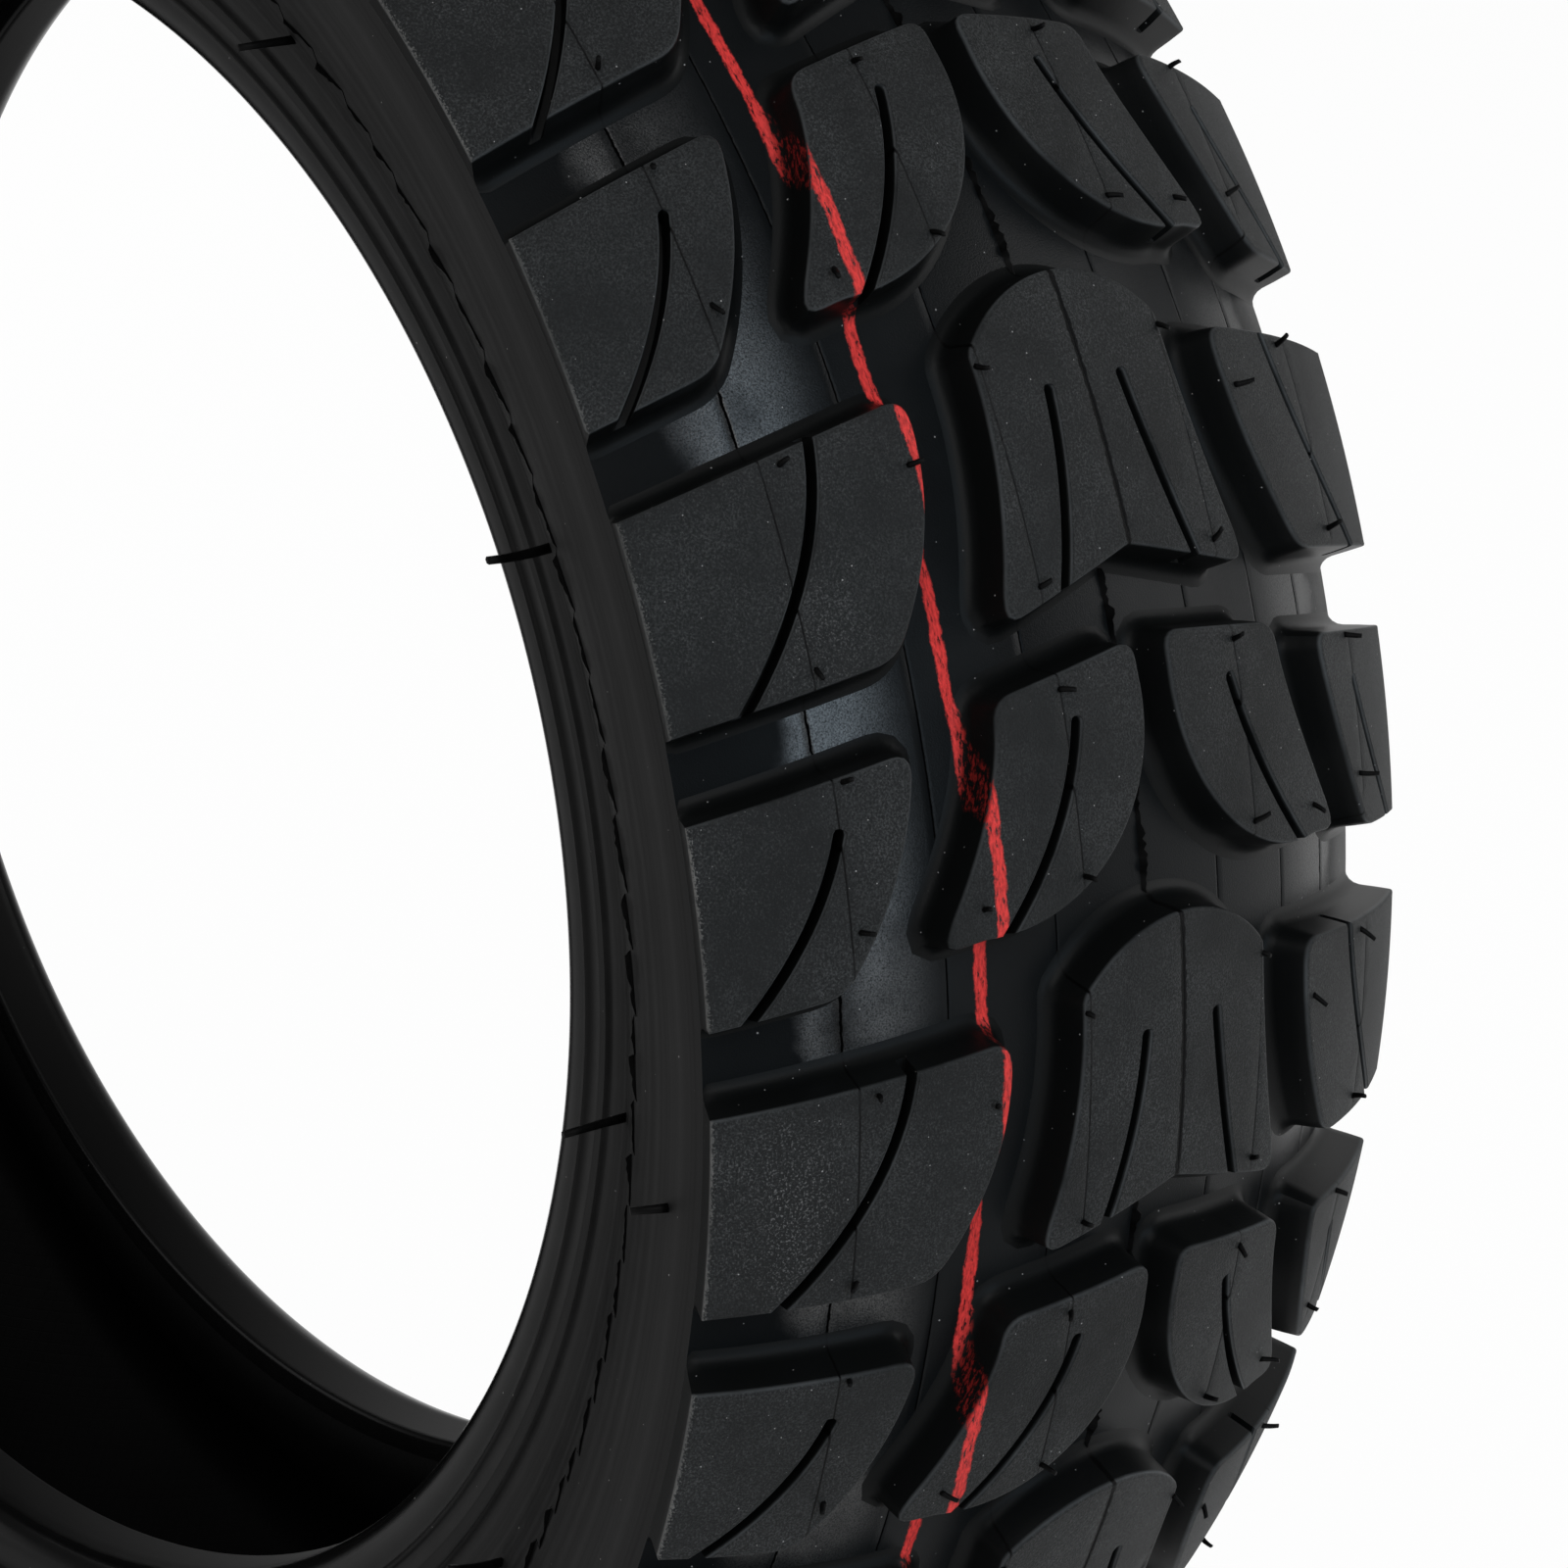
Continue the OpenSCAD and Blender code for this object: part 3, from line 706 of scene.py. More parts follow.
def bridge(work, loops):
    """Faces between closed loops of points that follow each other."""
    for near, far in zip(loops, loops[1:]):
        for i in range(len(near)):
            k = (i + 1) % len(near)
            work.faces.new((near[i], near[k], far[k], far[i]))


def finished(work, name):
    """The worked mesh, with its faces turned outwards."""
    bmesh.ops.recalc_face_normals(work, faces=work.faces)
    mesh = bpy.data.meshes.new(name)
    work.to_mesh(mesh)
    work.free()
    return mesh


def block_mesh(name, corners):
    """A block on the unrolled crown: foot, drafted wall, rounded edge and a top with the joint lines."""
    edge = closed_outline(corners)
    ways = outward(edge)
    profile = [(BLOCK_H * DRAFT + FOOT_R + FOOT_SUNK, -FOOT_SUNK)]
    for i in range(5):
        turn = math.pi / 2 * i / 4
        rise = FOOT_R * (1 - math.cos(turn))
        profile.append(((BLOCK_H - rise) * DRAFT + FOOT_R * (1 - math.sin(turn)), rise))
    profile.append((UPPER_WALL * DRAFT, BLOCK_H - UPPER_WALL))
    for i in range(4):
        turn = math.pi / 2 * i / 3
        profile.append((-EDGE_R * (1 - math.cos(turn)), BLOCK_H - EDGE_R * (1 - math.sin(turn))))
    profile.append((-TOP_LOOP, BLOCK_H))
    work = bmesh.new()
    rings = []
    for out, height in profile:
        spots = [p + out * way for p, way in zip(edge, ways)]
        rings.append([work.verts.new((p.x, min(p.y, TREAD_EDGE), height)) for p in spots])
    bridge(work, rings)
    work.faces.new(rings[0][::-1])
    rim = [Vector((v.co.x, v.co.y)) for v in rings[-1]]
    spots = list(rim)
    lows = [min(p[i] for p in rim) for i in (0, 1)]
    highs = [max(p[i] for p in rim) for i in (0, 1)]
    joints = [at for at in TOP_JOINTS if lows[1] < at < highs[1]]
    for i in range(1, int((highs[0] - lows[0]) / TOP_GRID) + 1):
        along = lows[0] + TOP_GRID * i
        for j in range(1, int((highs[1] - lows[1]) / TOP_GRID) + 1):
            p = Vector((along, lows[1] + TOP_GRID * (j + 0.5 * (i % 2))))
            if all(abs(p.y - at) > JOINT_CLEAR for at in joints):
                spots.append(p)
        spots += [Vector((along, at + JOINT_W * shift)) for at in joints for shift in (-0.5, 0, 0.5)]
    spots = rim + [p for p in spots[len(rim):] if inside(p, rim) and gap_to(p, rim) > RIM_CLEAR]
    flat, _, faces, origins, _, _ = delaunay_2d_cdt(spots, [], [list(range(len(rim)))], 1, 1e-5)
    tops = []
    for p, origin in zip(flat, origins):
        if origin and origin[0] < len(rim):
            tops.append(rings[-1][origin[0]])
        else:
            sunk = JOINT_D if any(abs(p.y - at) < 0.01 for at in joints) else 0.0
            tops.append(work.verts.new((p.x, p.y, BLOCK_H - sunk)))
    for face in faces:
        work.faces.new([tops[i] for i in face])
    bmesh.ops.triangulate(work, faces=[f for f in work.faces if len(f.verts) > 4])
    return finished(work, name)


def sipe_blade(sipes):
    """The steel blades that cut the sipes: each a line of points, with a rounded end if it stops in the block."""
    half = SIPE_W / 2
    right = [(half - SIPE_FOOT[0], SIPE_FLOOR), (half, SIPE_FLOOR + SIPE_FOOT[1]), (half, BLOCK_H + LIP_FROM),
             (half + SIPE_LIP, BLOCK_H + LIP_TO), (half + SIPE_LIP, BLOCK_H + BLADE_TO)]
    profile = [(-right[0][0], right[0][1])] + right + [(-w, h) for w, h in right[:0:-1]]
    work = bmesh.new()
    for line, round_start in sipes:
        ways = [(b - a).normalized() for a, b in zip(line, line[1:])]
        ways = [ways[0]] + [(a + b).normalized() for a, b in zip(ways, ways[1:])] + [ways[-1]]
        sections = list(zip(line, ways, [1.0] * len(line)))
        if round_start:
            for lead, width in SIPE_END:
                sections.insert(0, (line[0] - lead * ways[0], ways[0], width))
        rings = []
        for p, way, width in sections:
            rings.append([work.verts.new((p.x + way.y * w * width, p.y - way.x * w * width, h)) for w, h in profile])
        bridge(work, rings)
        work.faces.new(rings[0])
        work.faces.new(rings[-1][::-1])
    return finished(work, "sipe_blades")


def evaluated(piece):
    """The piece's mesh with its modifiers in it, as a plain mesh."""
    depsgraph = bpy.context.evaluated_depsgraph_get()
    return bpy.data.meshes.new_from_object(piece.evaluated_get(depsgraph), depsgraph=depsgraph)


def cut_block(name, corners, sipes):
    """A block with its sipes cut, still on the unrolled crown."""
    block = bpy.data.objects.new(name, block_mesh(name, corners))
    blades = bpy.data.objects.new("blades", sipe_blade(sipes))
    for piece in (block, blades):
        bpy.context.scene.collection.objects.link(piece)
    cut = block.modifiers.new("sipes", "BOOLEAN")
    cut.operation = "DIFFERENCE"
    cut.solver = "EXACT"
    cut.object = blades
    mesh = evaluated(block)
    bpy.data.objects.remove(block)
    bpy.data.objects.remove(blades)
    return mesh


def on_crown(mesh, name, side):
    """Lays a block's unrolled mesh on the crown, on the right (1) or the left (-1)."""
    laid = mesh.copy()
    laid.name = name
    numbers = {"along": [], "across": [], "height": []}
    for v in laid.vertices:
        along, across, height = v.co.x, v.co.y * side, v.co.z
        p = crown_point(across, BLOCK_H - height)
        turn = PATTERN_PHASE - along / OUTER_R
        v.co = (p.x * math.cos(turn) * MM, p.y * MM, p.x * math.sin(turn) * MM)
        for key, value in zip(numbers, (along, across, height)):
            numbers[key].append(value)
    keep_numbers(laid, **numbers)
    return laid


# Tread rubber against blasted steel: a matt black-grey top with a sandy grain whose pale specks are partly painted
# glints, glossier black walls, and a paler thin edge, partly rubbed by handling and partly a painted highlight. The
# grain is drawn coarser than it is, so that it shows.
block_rubber, tree, place = new_finish("vulcanised_tread_rubber")
height = add(tree, "Attribute", attribute_name="height").outputs["Fac"]
top = add(tree, "MapRange", {"Value": height, "From Min": BLOCK_H - 0.3, "From Max": BLOCK_H - 0.02})
rising = add(tree, "MapRange", {"Value": height, "From Min": BLOCK_H - 0.75, "From Max": BLOCK_H - 0.2})
cloud = add(tree, "TexNoise", {"Vector": place, "Scale": per_mm(16), "Detail": 6.0, "Roughness": 0.6})
sand = add(tree, "TexNoise", {"Vector": place, "Scale": per_mm(SAND_GRAIN), "Detail": 3.0, "Roughness": 0.65})
patch = add(tree, "MapRange", {"Value": cloud, "From Min": 0.3, "From Max": 0.7})
grit = add(tree, "MapRange", {"Value": sand, "From Min": 0.42, "From Max": 0.7})
# The pale specks are sandy grain, and partly painted glints.
grain_and_painted_glints = add(tree, "Math", {0: patch, 1: grit}, operation="MULTIPLY")
not_top = add(tree, "Math", {0: 1.0, 1: top}, operation="SUBTRACT")
# The paler thin edge is partly rubbed by handling and partly a painted highlight.
edge = add(tree, "Math", {0: rising, 1: not_top}, operation="MULTIPLY")
edge_patches = add(tree, "MapRange", {"Value": patch, "To Min": 0.15, "To Max": 1.0})
rubbed_and_highlit = add(tree, "Math", {0: edge, 1: edge_patches}, operation="MULTIPLY")
wide = add(tree, "TexNoise", {"Vector": place, "Scale": per_mm(38), "Detail": 8.0, "Roughness": 0.72})
broken = add(tree, "MapRange", {"Value": wide, "From Min": 0.4, "From Max": 0.62})
worn = WORN_ALL_OVER
for at, reach, strength in SCUFFS:
    off = add(tree, "VectorMath", {0: place, 1: Vector(at) * MM}, operation="SUBTRACT")
    slim = add(tree, "VectorMath", {0: off, 1: SCUFF_SLIM}, operation="MULTIPLY")
    far = add(tree, "VectorMath", {0: slim}, operation="LENGTH")
    near = add(tree, "MapRange", {"Value": far, "From Max": reach * MM, "To Min": strength, "To Max": 0.0})
    worn = add(tree, "Math", {0: near, 1: worn}, operation="MAXIMUM")
scuff = add(tree, "Math", {0: broken, 1: worn}, operation="MULTIPLY")
grains = add(tree, "MapRange", {"Value": sand, "From Min": 0.56, "From Max": 0.66})
gritty = add(tree, "Math", {0: scuff, 1: grains}, operation="MULTIPLY")
smudge = add(tree, "Math", {0: gritty, 1: top}, operation="MULTIPLY")
side_seams = seam_lines(tree, place, [at for at in TOP_JOINTS if at], SEAM_HALF, SEAM_FRAY)
middle_seam = seam_lines(tree, place, [0.0], MIDDLE_SEAM_HALF, MIDDLE_SEAM_FRAY)
seams = add(tree, "Math", {0: side_seams, 1: middle_seam}, operation="MAXIMUM")
across = add(tree, "Attribute", attribute_name="across").outputs["Fac"]
outer = add(tree, "Math", {0: across}, operation="ABSOLUTE")
frayed = add(tree, "Math", {0: grit, 1: FLASH_FRAY, 2: outer}, operation="MULTIPLY_ADD")
flash = add(tree, "MapRange", {
    "Value": frayed, "From Min": TREAD_EDGE - FLASH_SOFT, "From Max": TREAD_EDGE + FLASH_SOFT})
high = add(tree, "Math", {0: flash, 1: rising}, operation="MULTIPLY")
torn = add(tree, "Math", {0: high, 1: broken}, operation="MULTIPLY")
paint, red = paint_line(tree, place)
top_tone = coated(tree, linear(TOP_DARK), (grain_and_painted_glints, linear(TOP_GREY)))
tone = coated(
    tree, linear(WALL_BLACK), (top, top_tone), (rubbed_and_highlit, linear(EDGE_WEAR_AND_HIGHLIGHT)), (smudge, linear(DUST_GREY)),
    (dust_specks(tree, place, 1.5, 0.12), linear(DUST_GREY)), (seams, linear(SEAM_BLACK)),
    (torn, linear(FLASH_GREY)), (paint, red))
rough = add(tree, "MapRange", {"Value": top, "To Min": 0.4, "To Max": 0.6})
bright = add(tree, "Math", {0: top, 1: middle_seam}, operation="SUBTRACT")
shine = add(tree, "MapRange", {"Value": bright, "To Min": 0.07, "To Max": 0.14})
relief = add(tree, "MapRange", {"Value": top, "To Min": 0.15, "To Max": 1.0})
surface = skin(tree, tone, rough, sand, relief, 0.16, shine=0.11)
tree.links.new(shine.outputs[0], surface.inputs["Specular IOR Level"])


def repeater(name, **inputs):
    """A Geometry Nodes group that takes a mesh, these inputs and a material, and the keys of its inputs."""
    tree = bpy.data.node_groups.new(name, "GeometryNodeTree")
    keys = {}
    for key, kind in {"Mesh": "Geometry", **inputs, "Rubber": "Material"}.items():
        keys[key] = tree.interface.new_socket(key, in_out="INPUT", socket_type="NodeSocket" + kind).identifier
    tree.interface.new_socket("Copies", in_out="OUTPUT", socket_type="NodeSocketGeometry")
    return tree, keys, add(tree, "NodeGroupInput")


def hand_out(tree, given, copies):
    """Ends a group: makes its copies real and gives them their rubber."""
    real = add(tree, "GeometryNodeRealizeInstances", {"Geometry": copies})
    dressed = add(tree, "GeometryNodeSetMaterial", {"Geometry": real, "Material": given.outputs["Rubber"]})
    add(tree, "NodeGroupOutput", {0: dressed})


def grow(piece, tree, keys, **values):
    """Runs a group on a piece and keeps what it makes as the piece's own mesh."""
    copies = piece.modifiers.new("copies", "NODES")
    copies.node_group = tree
    for key, value in values.items():
        copies[keys[key]] = value
    piece.data = evaluated(piece)
    piece.modifiers.clear()


# The row of blocks round the tyre, as the mould's segments repeat it.
row_tree, row_keys, given = repeater("row_of_blocks", Count="Int")
spots = add(row_tree, "GeometryNodeMeshLine", {"Count": given.outputs["Count"], "Offset": (0, 0, 0)})
number = add(row_tree, "GeometryNodeInputIndex")
step = add(row_tree, "Math", {0: 2 * math.pi, 1: given.outputs["Count"]}, operation="DIVIDE")
turn = add(row_tree, "Math", {0: number, 1: step}, operation="MULTIPLY")
spin = add(row_tree, "CombineXYZ", {"Y": turn})
copies = add(row_tree, "GeometryNodeInstanceOnPoints", {
    "Points": spots, "Instance": given.outputs["Mesh"], "Rotation": spin})
hand_out(row_tree, given, copies)


def row_round(name, mesh, side, rubber):
    """A mesh from the unrolled crown, repeated round the tyre."""
    row = placed(name, on_crown(mesh, name, side), 32)
    grow(row, row_tree, row_keys, Count=BLOCKS_ROUND, Rubber=rubber)
    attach(row, "root")
    return row


def block_row(name, node, mesh, side):
    row = row_round(name, mesh, side, block_rubber)
    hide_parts(node)


# Centre blocks: an arched front, sides that flare to two tails, and two sipes open at the tails.
ARCH_R = 22.5
ARCH_SIDE = 50.5
NOTCH = Vector((37.0, 0.0))
TAIL = Vector((43.5, 22.5))
arch = arc((ARCH_R, 0), ARCH_R, 180 - ARCH_SIDE, 180 + ARCH_SIDE, 24)
flank = curve(TAIL - Vector((4.5, 0.7)), (24, arch[0].y), arch[0] + Vector((2, 0)), 16)
centre_sipe = curve((15.2, 6.7), (28.6, 8.0), (43.0, 13.2), 14)
centre_corners = [
    (NOTCH, SMALL_CUT, []),
    (TAIL, CORNER_CUT, flank),
    (arch[0], SMALL_CUT, arch[1:-1]),
    (arch[-1], SMALL_CUT, [Vector((p.x, -p.y)) for p in reversed(flank)]),
    (Vector((TAIL.x, -TAIL.y)), CORNER_CUT, [])]
centre_sipes = [(centre_sipe, True), ([Vector((p.x, -p.y)) for p in centre_sipe], True)]
block_row("centre_row", "centre_blocks", cut_block("centre_block", centre_corners, centre_sipes), 1)

# Intermediate blocks: a straight front, a round inner edge, a tip towards the shoulder and one sipe.
MID_FRONT_OUT = (-33.6, 26.7)
MID_FRONT_IN = (-36.9, 2.9)
MID_TIP = Vector((-2.0, 38.3))
mid_corners = [
    (MID_FRONT_OUT, CORNER_CUT, []),
    (MID_FRONT_IN, CORNER_CUT, arc((-30, 30), 27.2, 265, 364, 30)),
    (MID_TIP, CORNER_CUT, curve((-6.5, 36.3), (-20, 28.6), (-29, 27.2), 14))]
mid_sipe = curve((-28.4, 14.6), (-14.3, 17.8), (-0.5, 30.6), 16)
mid_block = cut_block("intermediate_block", mid_corners, [(mid_sipe, True)])

# Long shoulder blocks: from the shoulder edge inwards, with a sipe right through.
LONG_FRONT = (17.1, TREAD_EDGE)
LONG_FRONT_IN = (11.4, 29.0)
LONG_REAR_IN = (44.2, 39.0)
LONG_REAR = (48.1, TREAD_EDGE)
long_corners = [
    (LONG_FRONT, 0.0, []),
    (LONG_FRONT_IN, CORNER_CUT, curve((15.4, 28.7), (30, 29), LONG_REAR_IN, 14)[:-1]),
    (LONG_REAR_IN, CORNER_CUT, []),
    (LONG_REAR, 0.0, [])]
long_sipe = curve((10.6, 42.9), (29.7, 44.2), (51.5, 64.0), 20)
long_block = cut_block("long_shoulder_block", long_corners, [(long_sipe, False)])

# Short shoulder blocks: like the long ones, with a sipe that starts inside the block.
SHORT_FRONT = (-25.4, TREAD_EDGE)
SHORT_FRONT_IN = (-29.7, 39.4)
SHORT_REAR_IN = (1.4, 51.9)
SHORT_REAR = (4.3, TREAD_EDGE)
short_corners = [
    (SHORT_FRONT, 0.0, []),
    (SHORT_FRONT_IN, CORNER_CUT, curve((-26, 39.8), (-11.5, 42.6), SHORT_REAR_IN, 14)[:-1]),
    (SHORT_REAR_IN, CORNER_CUT, []),
    (SHORT_REAR, 0.0, [])]
short_sipe = curve((-20.8, 50.6), (-6.8, 54.9), (7.5, 68.2), 16)
short_block = cut_block("short_shoulder_block", short_corners, [(short_sipe, True)])

for side, sign in (("left", -1), ("right", 1)):
    block_row("intermediate_row_" + side, "intermediate_blocks_" + side, mid_block, sign)
    block_row("long_shoulder_row_" + side, "long_shoulder_blocks_" + side, long_block, sign)
    block_row("short_shoulder_row_" + side, "short_shoulder_blocks_" + side, short_block, sign)


# Parting flash: torn fins of rubber, squeezed out where the pieces of the mould meet.
# One stands on the groove floor of the middle line, one runs round each sidewall above its bead ring.
FIN_FROM, FIN_TO = 39.6, 85.0
FIN_STEP = 0.7
FIN_HALF = 0.5
FIN_LOW, FIN_HIGH = 0.5, 2.2
FIN_START = 0.4
FIN_CHANGE = 0.45
FIN_LEAN = 0.3
FIN_TOP_HALF = 0.06
FIN_SUNK = 0.1
FLASH_BLACK = "#020202"
FLASH_DARK = "#0a0a0a"
random.seed(11)

fin_work = bmesh.new()
fin_rings, rise = [], FIN_START
for i in range(int((FIN_TO - FIN_FROM) / FIN_STEP) + 1):
    rise = min(FIN_HIGH, max(FIN_LOW, rise + random.uniform(-FIN_CHANGE, FIN_CHANGE)))
    lean = random.uniform(-FIN_LEAN, FIN_LEAN)
    along = FIN_FROM + FIN_STEP * i
    fin_rings.append([fin_work.verts.new(spot) for spot in (
        (along, -FIN_HALF, -FIN_SUNK), (along, FIN_HALF, -FIN_SUNK),
        (along, lean + FIN_TOP_HALF, rise), (along, lean - FIN_TOP_HALF, rise))])
bridge(fin_work, fin_rings)
fin_work.faces.new(fin_rings[0])
fin_work.faces.new(fin_rings[-1][::-1])
fin_mesh = finished(fin_work, "fin")

# Thin vulcanised flash: black, a little glossy where it tore.
flash_rubber, tree, place = new_finish("thin_flash_rubber")
torn, tone = mottled(tree, place, 0.6, 4.0, FLASH_BLACK, FLASH_DARK)
rough = add(tree, "MapRange", {"Value": torn, "To Min": 0.35, "To Max": 0.65})
skin(tree, tone, rough, torn, 0.4, 0.1, shine=0.06)

flash_fin = row_round("parting_flash", fin_mesh, 1, flash_rubber)

# The fin of the bead ring is torn to short slanting strands, and is next to nothing high between them.
WALL_FIN_AT = 0.28
WALL_FIN_SWAY = 1.15
WALL_FIN_SLANT = (0.08, 0.36)
WALL_FIN_HALF = 0.25
WALL_FIN_LOW, WALL_FIN_HIGH = 0.25, 0.8
WALL_FIN_TORN = 0.08
WALL_FIN_NEXT = (0.3, 1.2)
WALL_FIN_CHANGE = 0.25
wall_fin = quad(flare, bulge, tread_edge, WALL_FIN_AT)
slope = ((1 - WALL_FIN_AT) * (bulge - flare) + WALL_FIN_AT * (tread_edge - bulge)).normalized()
outwards = Vector((-slope.y, slope.x))
for side, sign in (("left", -1), ("right", 1)):
    sections, rise, sway, ended = [], FIN_START, 0.0, False
    for i in range(round(2 * math.pi * wall_fin.x / FIN_STEP)):
        if ended:
            sway, ended = WALL_FIN_SWAY * random.uniform(*WALL_FIN_NEXT), False
        elif sway < -WALL_FIN_SWAY:
            rise, ended = WALL_FIN_TORN, True
        else:
            rise += random.uniform(-WALL_FIN_CHANGE, WALL_FIN_CHANGE)
            rise = min(WALL_FIN_HIGH, max(WALL_FIN_LOW, rise))
            sway -= random.uniform(*WALL_FIN_SLANT)
        section = []
        for shift, out in (
                (-WALL_FIN_HALF, -FIN_SUNK), (WALL_FIN_HALF, -FIN_SUNK),
                (FIN_LEAN + FIN_TOP_HALF, rise), (FIN_LEAN - FIN_TOP_HALF, rise)):
            p = wall_fin + (sway + shift) * slope + out * outwards
            section.append(Vector((p.x, sign * p.y)))
        sections.append(section)
    ring_fin = swept("bead_ring_flash_" + side, sections, 30)
    ring_fin.data.materials.append(flash_rubber)
    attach(ring_fin, "root")


# Vent spews: thin rubber hairs left by the mould's vent holes, on the block tops and on the sidewalls.
# They are soft, stand about square to the surface and lean, each in its own way.
SPEW_SPOTS = (
    (15.7, 47.9), (20.1, 31.0), (42.9, 49.9), (-27.6, 49.2), (-7.2, 49.3),
    (-33.0, 16.6), (-8.3, 16.3), (-7.0, 32.0), (10.0, 17.0), (39.5, 16.5))
SPEW_L = (1.8, 2.9)
SPEW_HALF = 0.42
SPEW_BEND = 0.4
SPEW_LEAN = 0.55
SPEW_TAPER = 0.8
SPEW_SEED = 5
ROOT_SUNK = 0.2
BOX_R = OUTER_R - 0.5
SHORTEST = 0.6
WALL_SPEWS = 12
WALL_SPEW_AT = math.radians(54.4)
WALL_SPEW_L = {1: (3.0, 5.0), -1: (7.5, 10.5)}
WALL_SPEW_HALF = 0.7
WALL_SPEW_BEND = 1.6
WALL_SPEW_LEAN = 0.12
WALL_SPEW_UP = 0.25
WALL_SPEW_STRAY = 0.02
WALL_SPEW_DROOP = 0.15
HIGH_SPEWS = 6
HIGH_SPEW_UP = 0.74
HIGH_SPEW_AT = math.radians(-5.3)
HIGH_SPEW_L = (3.5, 5.0)
HIGH_SPEW_DROOP = 0.5
random.seed(23)


def spew_points(name, roots):
    """Roots of spews as loose points, each with its way and its length, cut where it would leave the tyre's box."""
    mesh = bpy.data.meshes.new(name)
    kept = []
    for point, way, turn, reach in roots:
        spin = (math.cos(turn), math.sin(turn))
        root = Vector((point.x * spin[0], point.y, point.x * spin[1]))
        out = Vector((way.x * spin[0], way.y, way.x * spin[1])).normalized()
        for axis in (0, 2):
            if abs(root[axis] + reach * out[axis]) > BOX_R:
                reach = (BOX_R - abs(root[axis])) / abs(out[axis])
        if reach > SHORTEST:
            kept.append((root * MM, out, reach * MM))
    mesh.from_pydata([root for root, _, _ in kept], [], [])
    ways = [part for _, out, _ in kept for part in out]
    mesh.attributes.new("way", "FLOAT_VECTOR", "POINT").data.foreach_set("vector", ways)
    keep_numbers(mesh, reach=[reach for _, _, reach in kept])
    return mesh


spew_tree, spew_keys, given = repeater("vent_spews", Radius="Float", Bend="Float", Lean="Float", Seed="Int")
thin = add(spew_tree, "Math", {0: given.outputs["Radius"], 1: SPEW_TAPER}, operation="MULTIPLY")
hair = add(spew_tree, "GeometryNodeMeshCone", {
    "Vertices": 6, "Side Segments": 4, "Radius Top": thin, "Radius Bottom": given.outputs["Radius"],
    "Depth": 1.0})
spot = add(spew_tree, "GeometryNodeInputPosition")
height = add(spew_tree, "SeparateXYZ", {0: spot}).outputs["Z"]
square = add(spew_tree, "Math", {0: height, 1: height}, operation="MULTIPLY")
sway = add(spew_tree, "Math", {0: square, 1: given.outputs["Bend"]}, operation="MULTIPLY")
shift = add(spew_tree, "CombineXYZ", {"X": sway})
bent = add(spew_tree, "GeometryNodeSetPosition", {"Geometry": hair, "Offset": shift})
way = add(spew_tree, "GeometryNodeInputNamedAttribute", {"Name": "way"}, data_type="FLOAT_VECTOR")
upright = add(spew_tree, "FunctionNodeAlignRotationToVector", {"Vector": way}, axis="Z")
back = add(spew_tree, "Math", {0: given.outputs["Lean"], 1: -1.0}, operation="MULTIPLY")
most = add(spew_tree, "CombineXYZ", {0: given.outputs["Lean"], 1: given.outputs["Lean"], 2: math.pi})
least = add(spew_tree, "CombineXYZ", {0: back, 1: back, 2: -math.pi})
chance = add(spew_tree, "FunctionNodeRandomValue", {
    0: least, 1: most, "Seed": given.outputs["Seed"]}, data_type="FLOAT_VECTOR")
tilt = add(spew_tree, "FunctionNodeEulerToRotation", {0: chance})
leaning = add(spew_tree, "FunctionNodeRotateRotation", {
    "Rotation": upright, "Rotate By": tilt}, rotation_space="LOCAL")
reach = add(spew_tree, "GeometryNodeInputNamedAttribute", {"Name": "reach"}, data_type="FLOAT")
size = add(spew_tree, "CombineXYZ", {0: 1.0, 1: 1.0, 2: reach})
hairs = add(spew_tree, "GeometryNodeInstanceOnPoints", {
    "Points": given.outputs["Mesh"], "Instance": bent, "Rotation": leaning, "Scale": size})
hand_out(spew_tree, given, hairs)


def spews(name, roots, half, bend_by, lean):
    """A piece with a spew on each root."""
    piece = bpy.data.objects.new(name, spew_points(name, roots))
    bpy.context.scene.collection.objects.link(piece)
    grow(piece, spew_tree, spew_keys, Radius=half * MM, Bend=bend_by * MM, Lean=lean, Seed=SPEW_SEED,
         Rubber=flash_rubber)
    piece.data.shade_smooth()
    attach(piece, "root")


block_roots = []
for i in range(BLOCKS_ROUND):
    for sign in (1, -1):
        for along, across in SPEW_SPOTS:
            turn = PATTERN_PHASE - along / OUTER_R - 2 * math.pi * i / BLOCKS_ROUND
            out = direction(sign * across / CROWN_R)
            block_roots.append((crown_point(sign * across, ROOT_SUNK), out, turn, random.uniform(*SPEW_L)))
spews("block_spews", block_roots, SPEW_HALF, SPEW_BEND, SPEW_LEAN)


def wall_root(up, droop, sign, turn, reach):
    """A root at this share of the way up the sidewall, whose spew droops towards the axle."""
    spot = quad(flare, bulge, tread_edge, up) - Vector((0, ROOT_SUNK))
    return Vector((spot.x, sign * spot.y)), Vector((-droop, sign)), turn, reach


wall_roots = []
for i in range(WALL_SPEWS):
    for sign in (1, -1):
        up = random.uniform(0.0, WALL_SPEW_UP)
        turn = WALL_SPEW_AT - 2 * math.pi * i / WALL_SPEWS + random.uniform(-WALL_SPEW_STRAY, WALL_SPEW_STRAY)
        wall_roots.append(wall_root(up, WALL_SPEW_DROOP, sign, turn, random.uniform(*WALL_SPEW_L[sign])))
for i in range(HIGH_SPEWS):
    for sign in (1, -1):
        turn = HIGH_SPEW_AT - 2 * math.pi * i / HIGH_SPEWS
        wall_roots.append(wall_root(HIGH_SPEW_UP, HIGH_SPEW_DROOP, sign, turn, random.uniform(*HIGH_SPEW_L)))
spews("sidewall_spews", wall_roots, WALL_SPEW_HALF, WALL_SPEW_BEND, WALL_SPEW_LEAN)


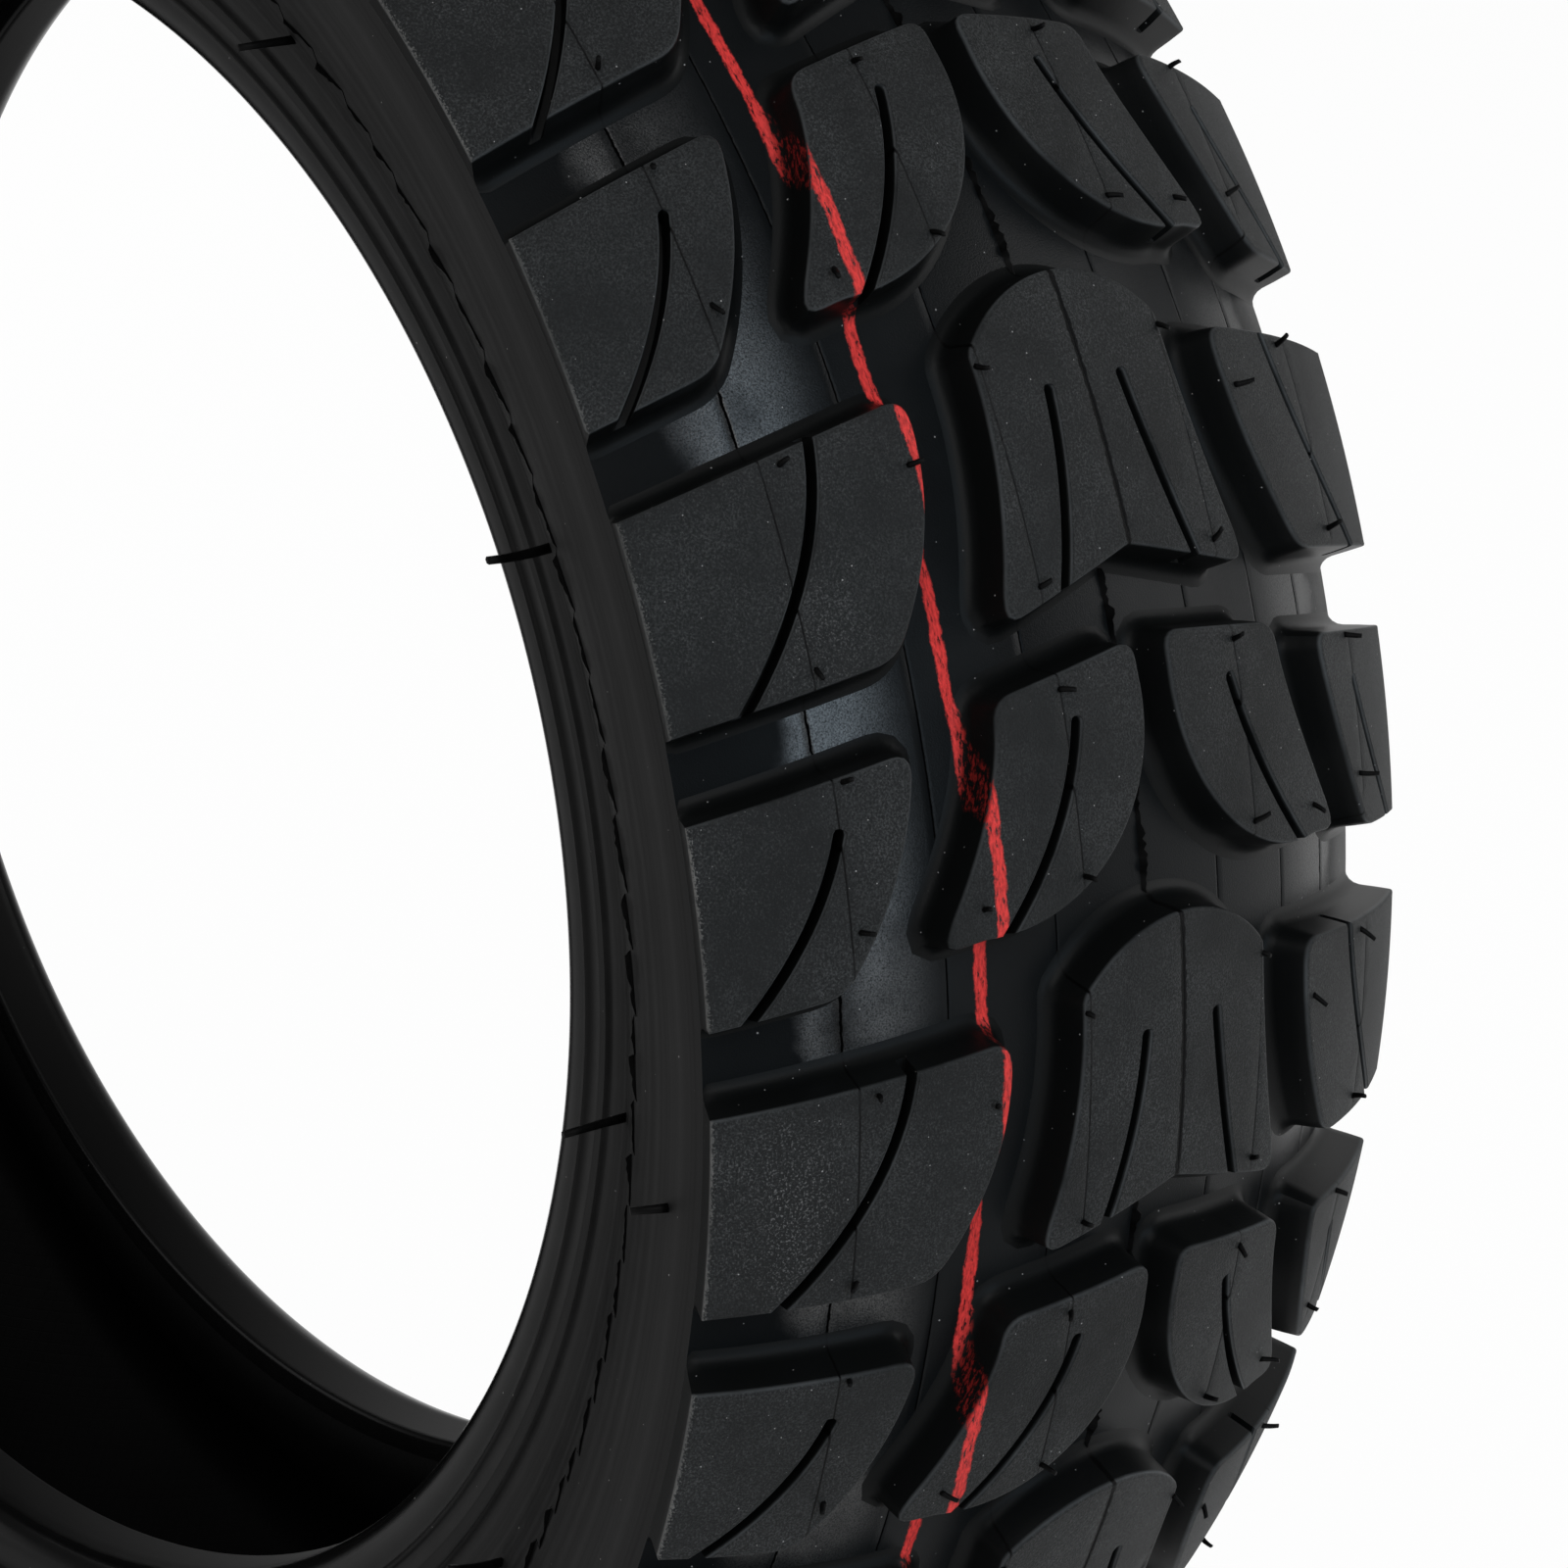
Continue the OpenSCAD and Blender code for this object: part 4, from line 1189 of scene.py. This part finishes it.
# Studio: a pale floor under the standing tyre, soft boxes and a camera at the photograph's place.
# Its sizes are in metres. The floor and the backdrop glow only to rays that see them, and light nothing.
FLOOR_Z = -0.2051
FLOOR_HALF = 8.0
PAPER_WHITE = "#f2f2f2"


def seeing_rays(tree):
    """The light path, and a mask of the rays from the camera, a reflection or something clear."""
    ray = add(tree, "LightPath")
    seen = add(tree, "Math", {0: ray.outputs["Is Camera Ray"], 1: ray.outputs["Is Glossy Ray"]}, operation="MAXIMUM")
    return ray, add(tree, "Math", {0: seen, 1: ray.outputs["Is Transmission Ray"]}, operation="MAXIMUM")


floor_mesh = bpy.data.meshes.new("floor")
floor_corners = [(x * FLOOR_HALF, y * FLOOR_HALF, FLOOR_Z) for x, y in ((-1, -1), (1, -1), (1, 1), (-1, 1))]
floor_mesh.from_pydata(floor_corners, [], [(0, 1, 2, 3)])
floor = bpy.data.objects.new("studio_floor", floor_mesh)
bpy.context.scene.collection.objects.link(floor)
# Matt paper: bright white. Its glow fades towards the tyre's foot, which paints a round grey shadow there, and the
# real soft shadow shows there too.
paper, tree, place = new_finish("white_studio_paper")
ray, shown = seeing_rays(tree)
spot = add(tree, "VectorMath", {0: place, 1: (1, 1, 0)}, operation="MULTIPLY")
away = add(tree, "VectorMath", {0: spot}, operation="LENGTH")
# The glow fades towards the tyre's foot, which paints a round grey shadow.
glow_with_painted_shadow = add(tree, "MapRange", {
    "Value": away, "From Min": 0.07, "From Max": 0.2, "To Min": 0.5, "To Max": 0.96},
    interpolation_type="SMOOTHSTEP")
share = add(tree, "Math", {0: shown, 1: glow_with_painted_shadow}, operation="MULTIPLY")
matt = add(tree, "BsdfDiffuse", {"Color": linear(PAPER_WHITE)})
glow = add(tree, "Emission", {"Color": (1, 1, 1, 1), "Strength": 1.0})
mix = add(tree, "MixShader", {0: share, 1: matt, 2: glow})
add(tree, "OutputMaterial", {"Surface": mix})
floor_mesh.materials.append(paper)

SOFT_BOXES = (
    ("tall_box_ahead", (1.55, -0.25, 0.3), (0.5, 1.5), 8.0, "#d4ecff"),
    ("camera_box", (1.15, -1.05, 1.1), (1.1, 1.1), 12.0, "#ffffff"),
    ("right_box", (1.1, 1.3, 0.5), (1.0, 1.0), 9.0, "#ffffff"),
    ("overhead_box", (0.2, -0.4, 1.7), (1.4, 1.4), 4.0, "#ffffff"),
    ("left_box", (-1.0, -1.6, 0.6), (1.2, 1.2), 7.0, "#ffffff"),
    ("rear_box", (-1.8, 0.4, 0.8), (1.4, 1.4), 14.0, "#ffffff"))
for name, at, size, power, colour in SOFT_BOXES:
    lamp = bpy.data.lights.new(name, "AREA")
    lamp.shape = "RECTANGLE"
    lamp.size, lamp.size_y = size
    lamp.energy = power
    lamp.color = linear(colour)[:3]
    box = bpy.data.objects.new(name, lamp)
    box.location = at
    box.rotation_euler = (-Vector(at)).to_track_quat("-Z", "Y").to_euler()
    bpy.context.scene.collection.objects.link(box)

# A white backdrop stands behind the tyre, the rest of the room is dim.
BACKDROP_WAY = (-0.79, 0.61, 0.0)
ROOM_LEVEL = 0.22
world = bpy.data.worlds.new("studio")
bpy.context.scene.world = world
world.use_nodes = True
world.node_tree.nodes.clear()
tree = world.node_tree
ray, shown = seeing_rays(tree)
way = add(tree, "TexCoord").outputs["Generated"]
behind = add(tree, "VectorMath", {0: way, 1: BACKDROP_WAY}, operation="DOT_PRODUCT")
backdrop = add(tree, "MapRange", {
    "Value": behind, "From Min": 0.5, "From Max": 0.95, "To Min": ROOM_LEVEL, "To Max": 1.0})
level = add(tree, "Math", {0: ray.outputs["Is Camera Ray"], 1: backdrop}, operation="MAXIMUM")
level = add(tree, "MapRange", {"Value": shown, "To Min": ROOM_LEVEL, "To Max": level})
sky = add(tree, "Background", {"Color": (1, 1, 1, 1), "Strength": level})
add(tree, "OutputWorld", {"Surface": sky})

CAMERA_AT = (0.67417, -0.52091, 0.26205)
CAMERA_WAY = (-0.68822, 0.65765, -0.30636)
CAMERA_LENS = 130.46
lens = bpy.data.cameras.new("photograph")
lens.lens = CAMERA_LENS
lens.sensor_width = 36.0
lens.sensor_fit = "HORIZONTAL"
camera = bpy.data.objects.new("photograph", lens)
camera.location = CAMERA_AT
camera.rotation_euler = Vector(CAMERA_WAY).to_track_quat("-Z", "Y").to_euler()
bpy.context.scene.collection.objects.link(camera)
bpy.context.scene.camera = camera
bpy.context.scene.view_settings.view_transform = "Standard"
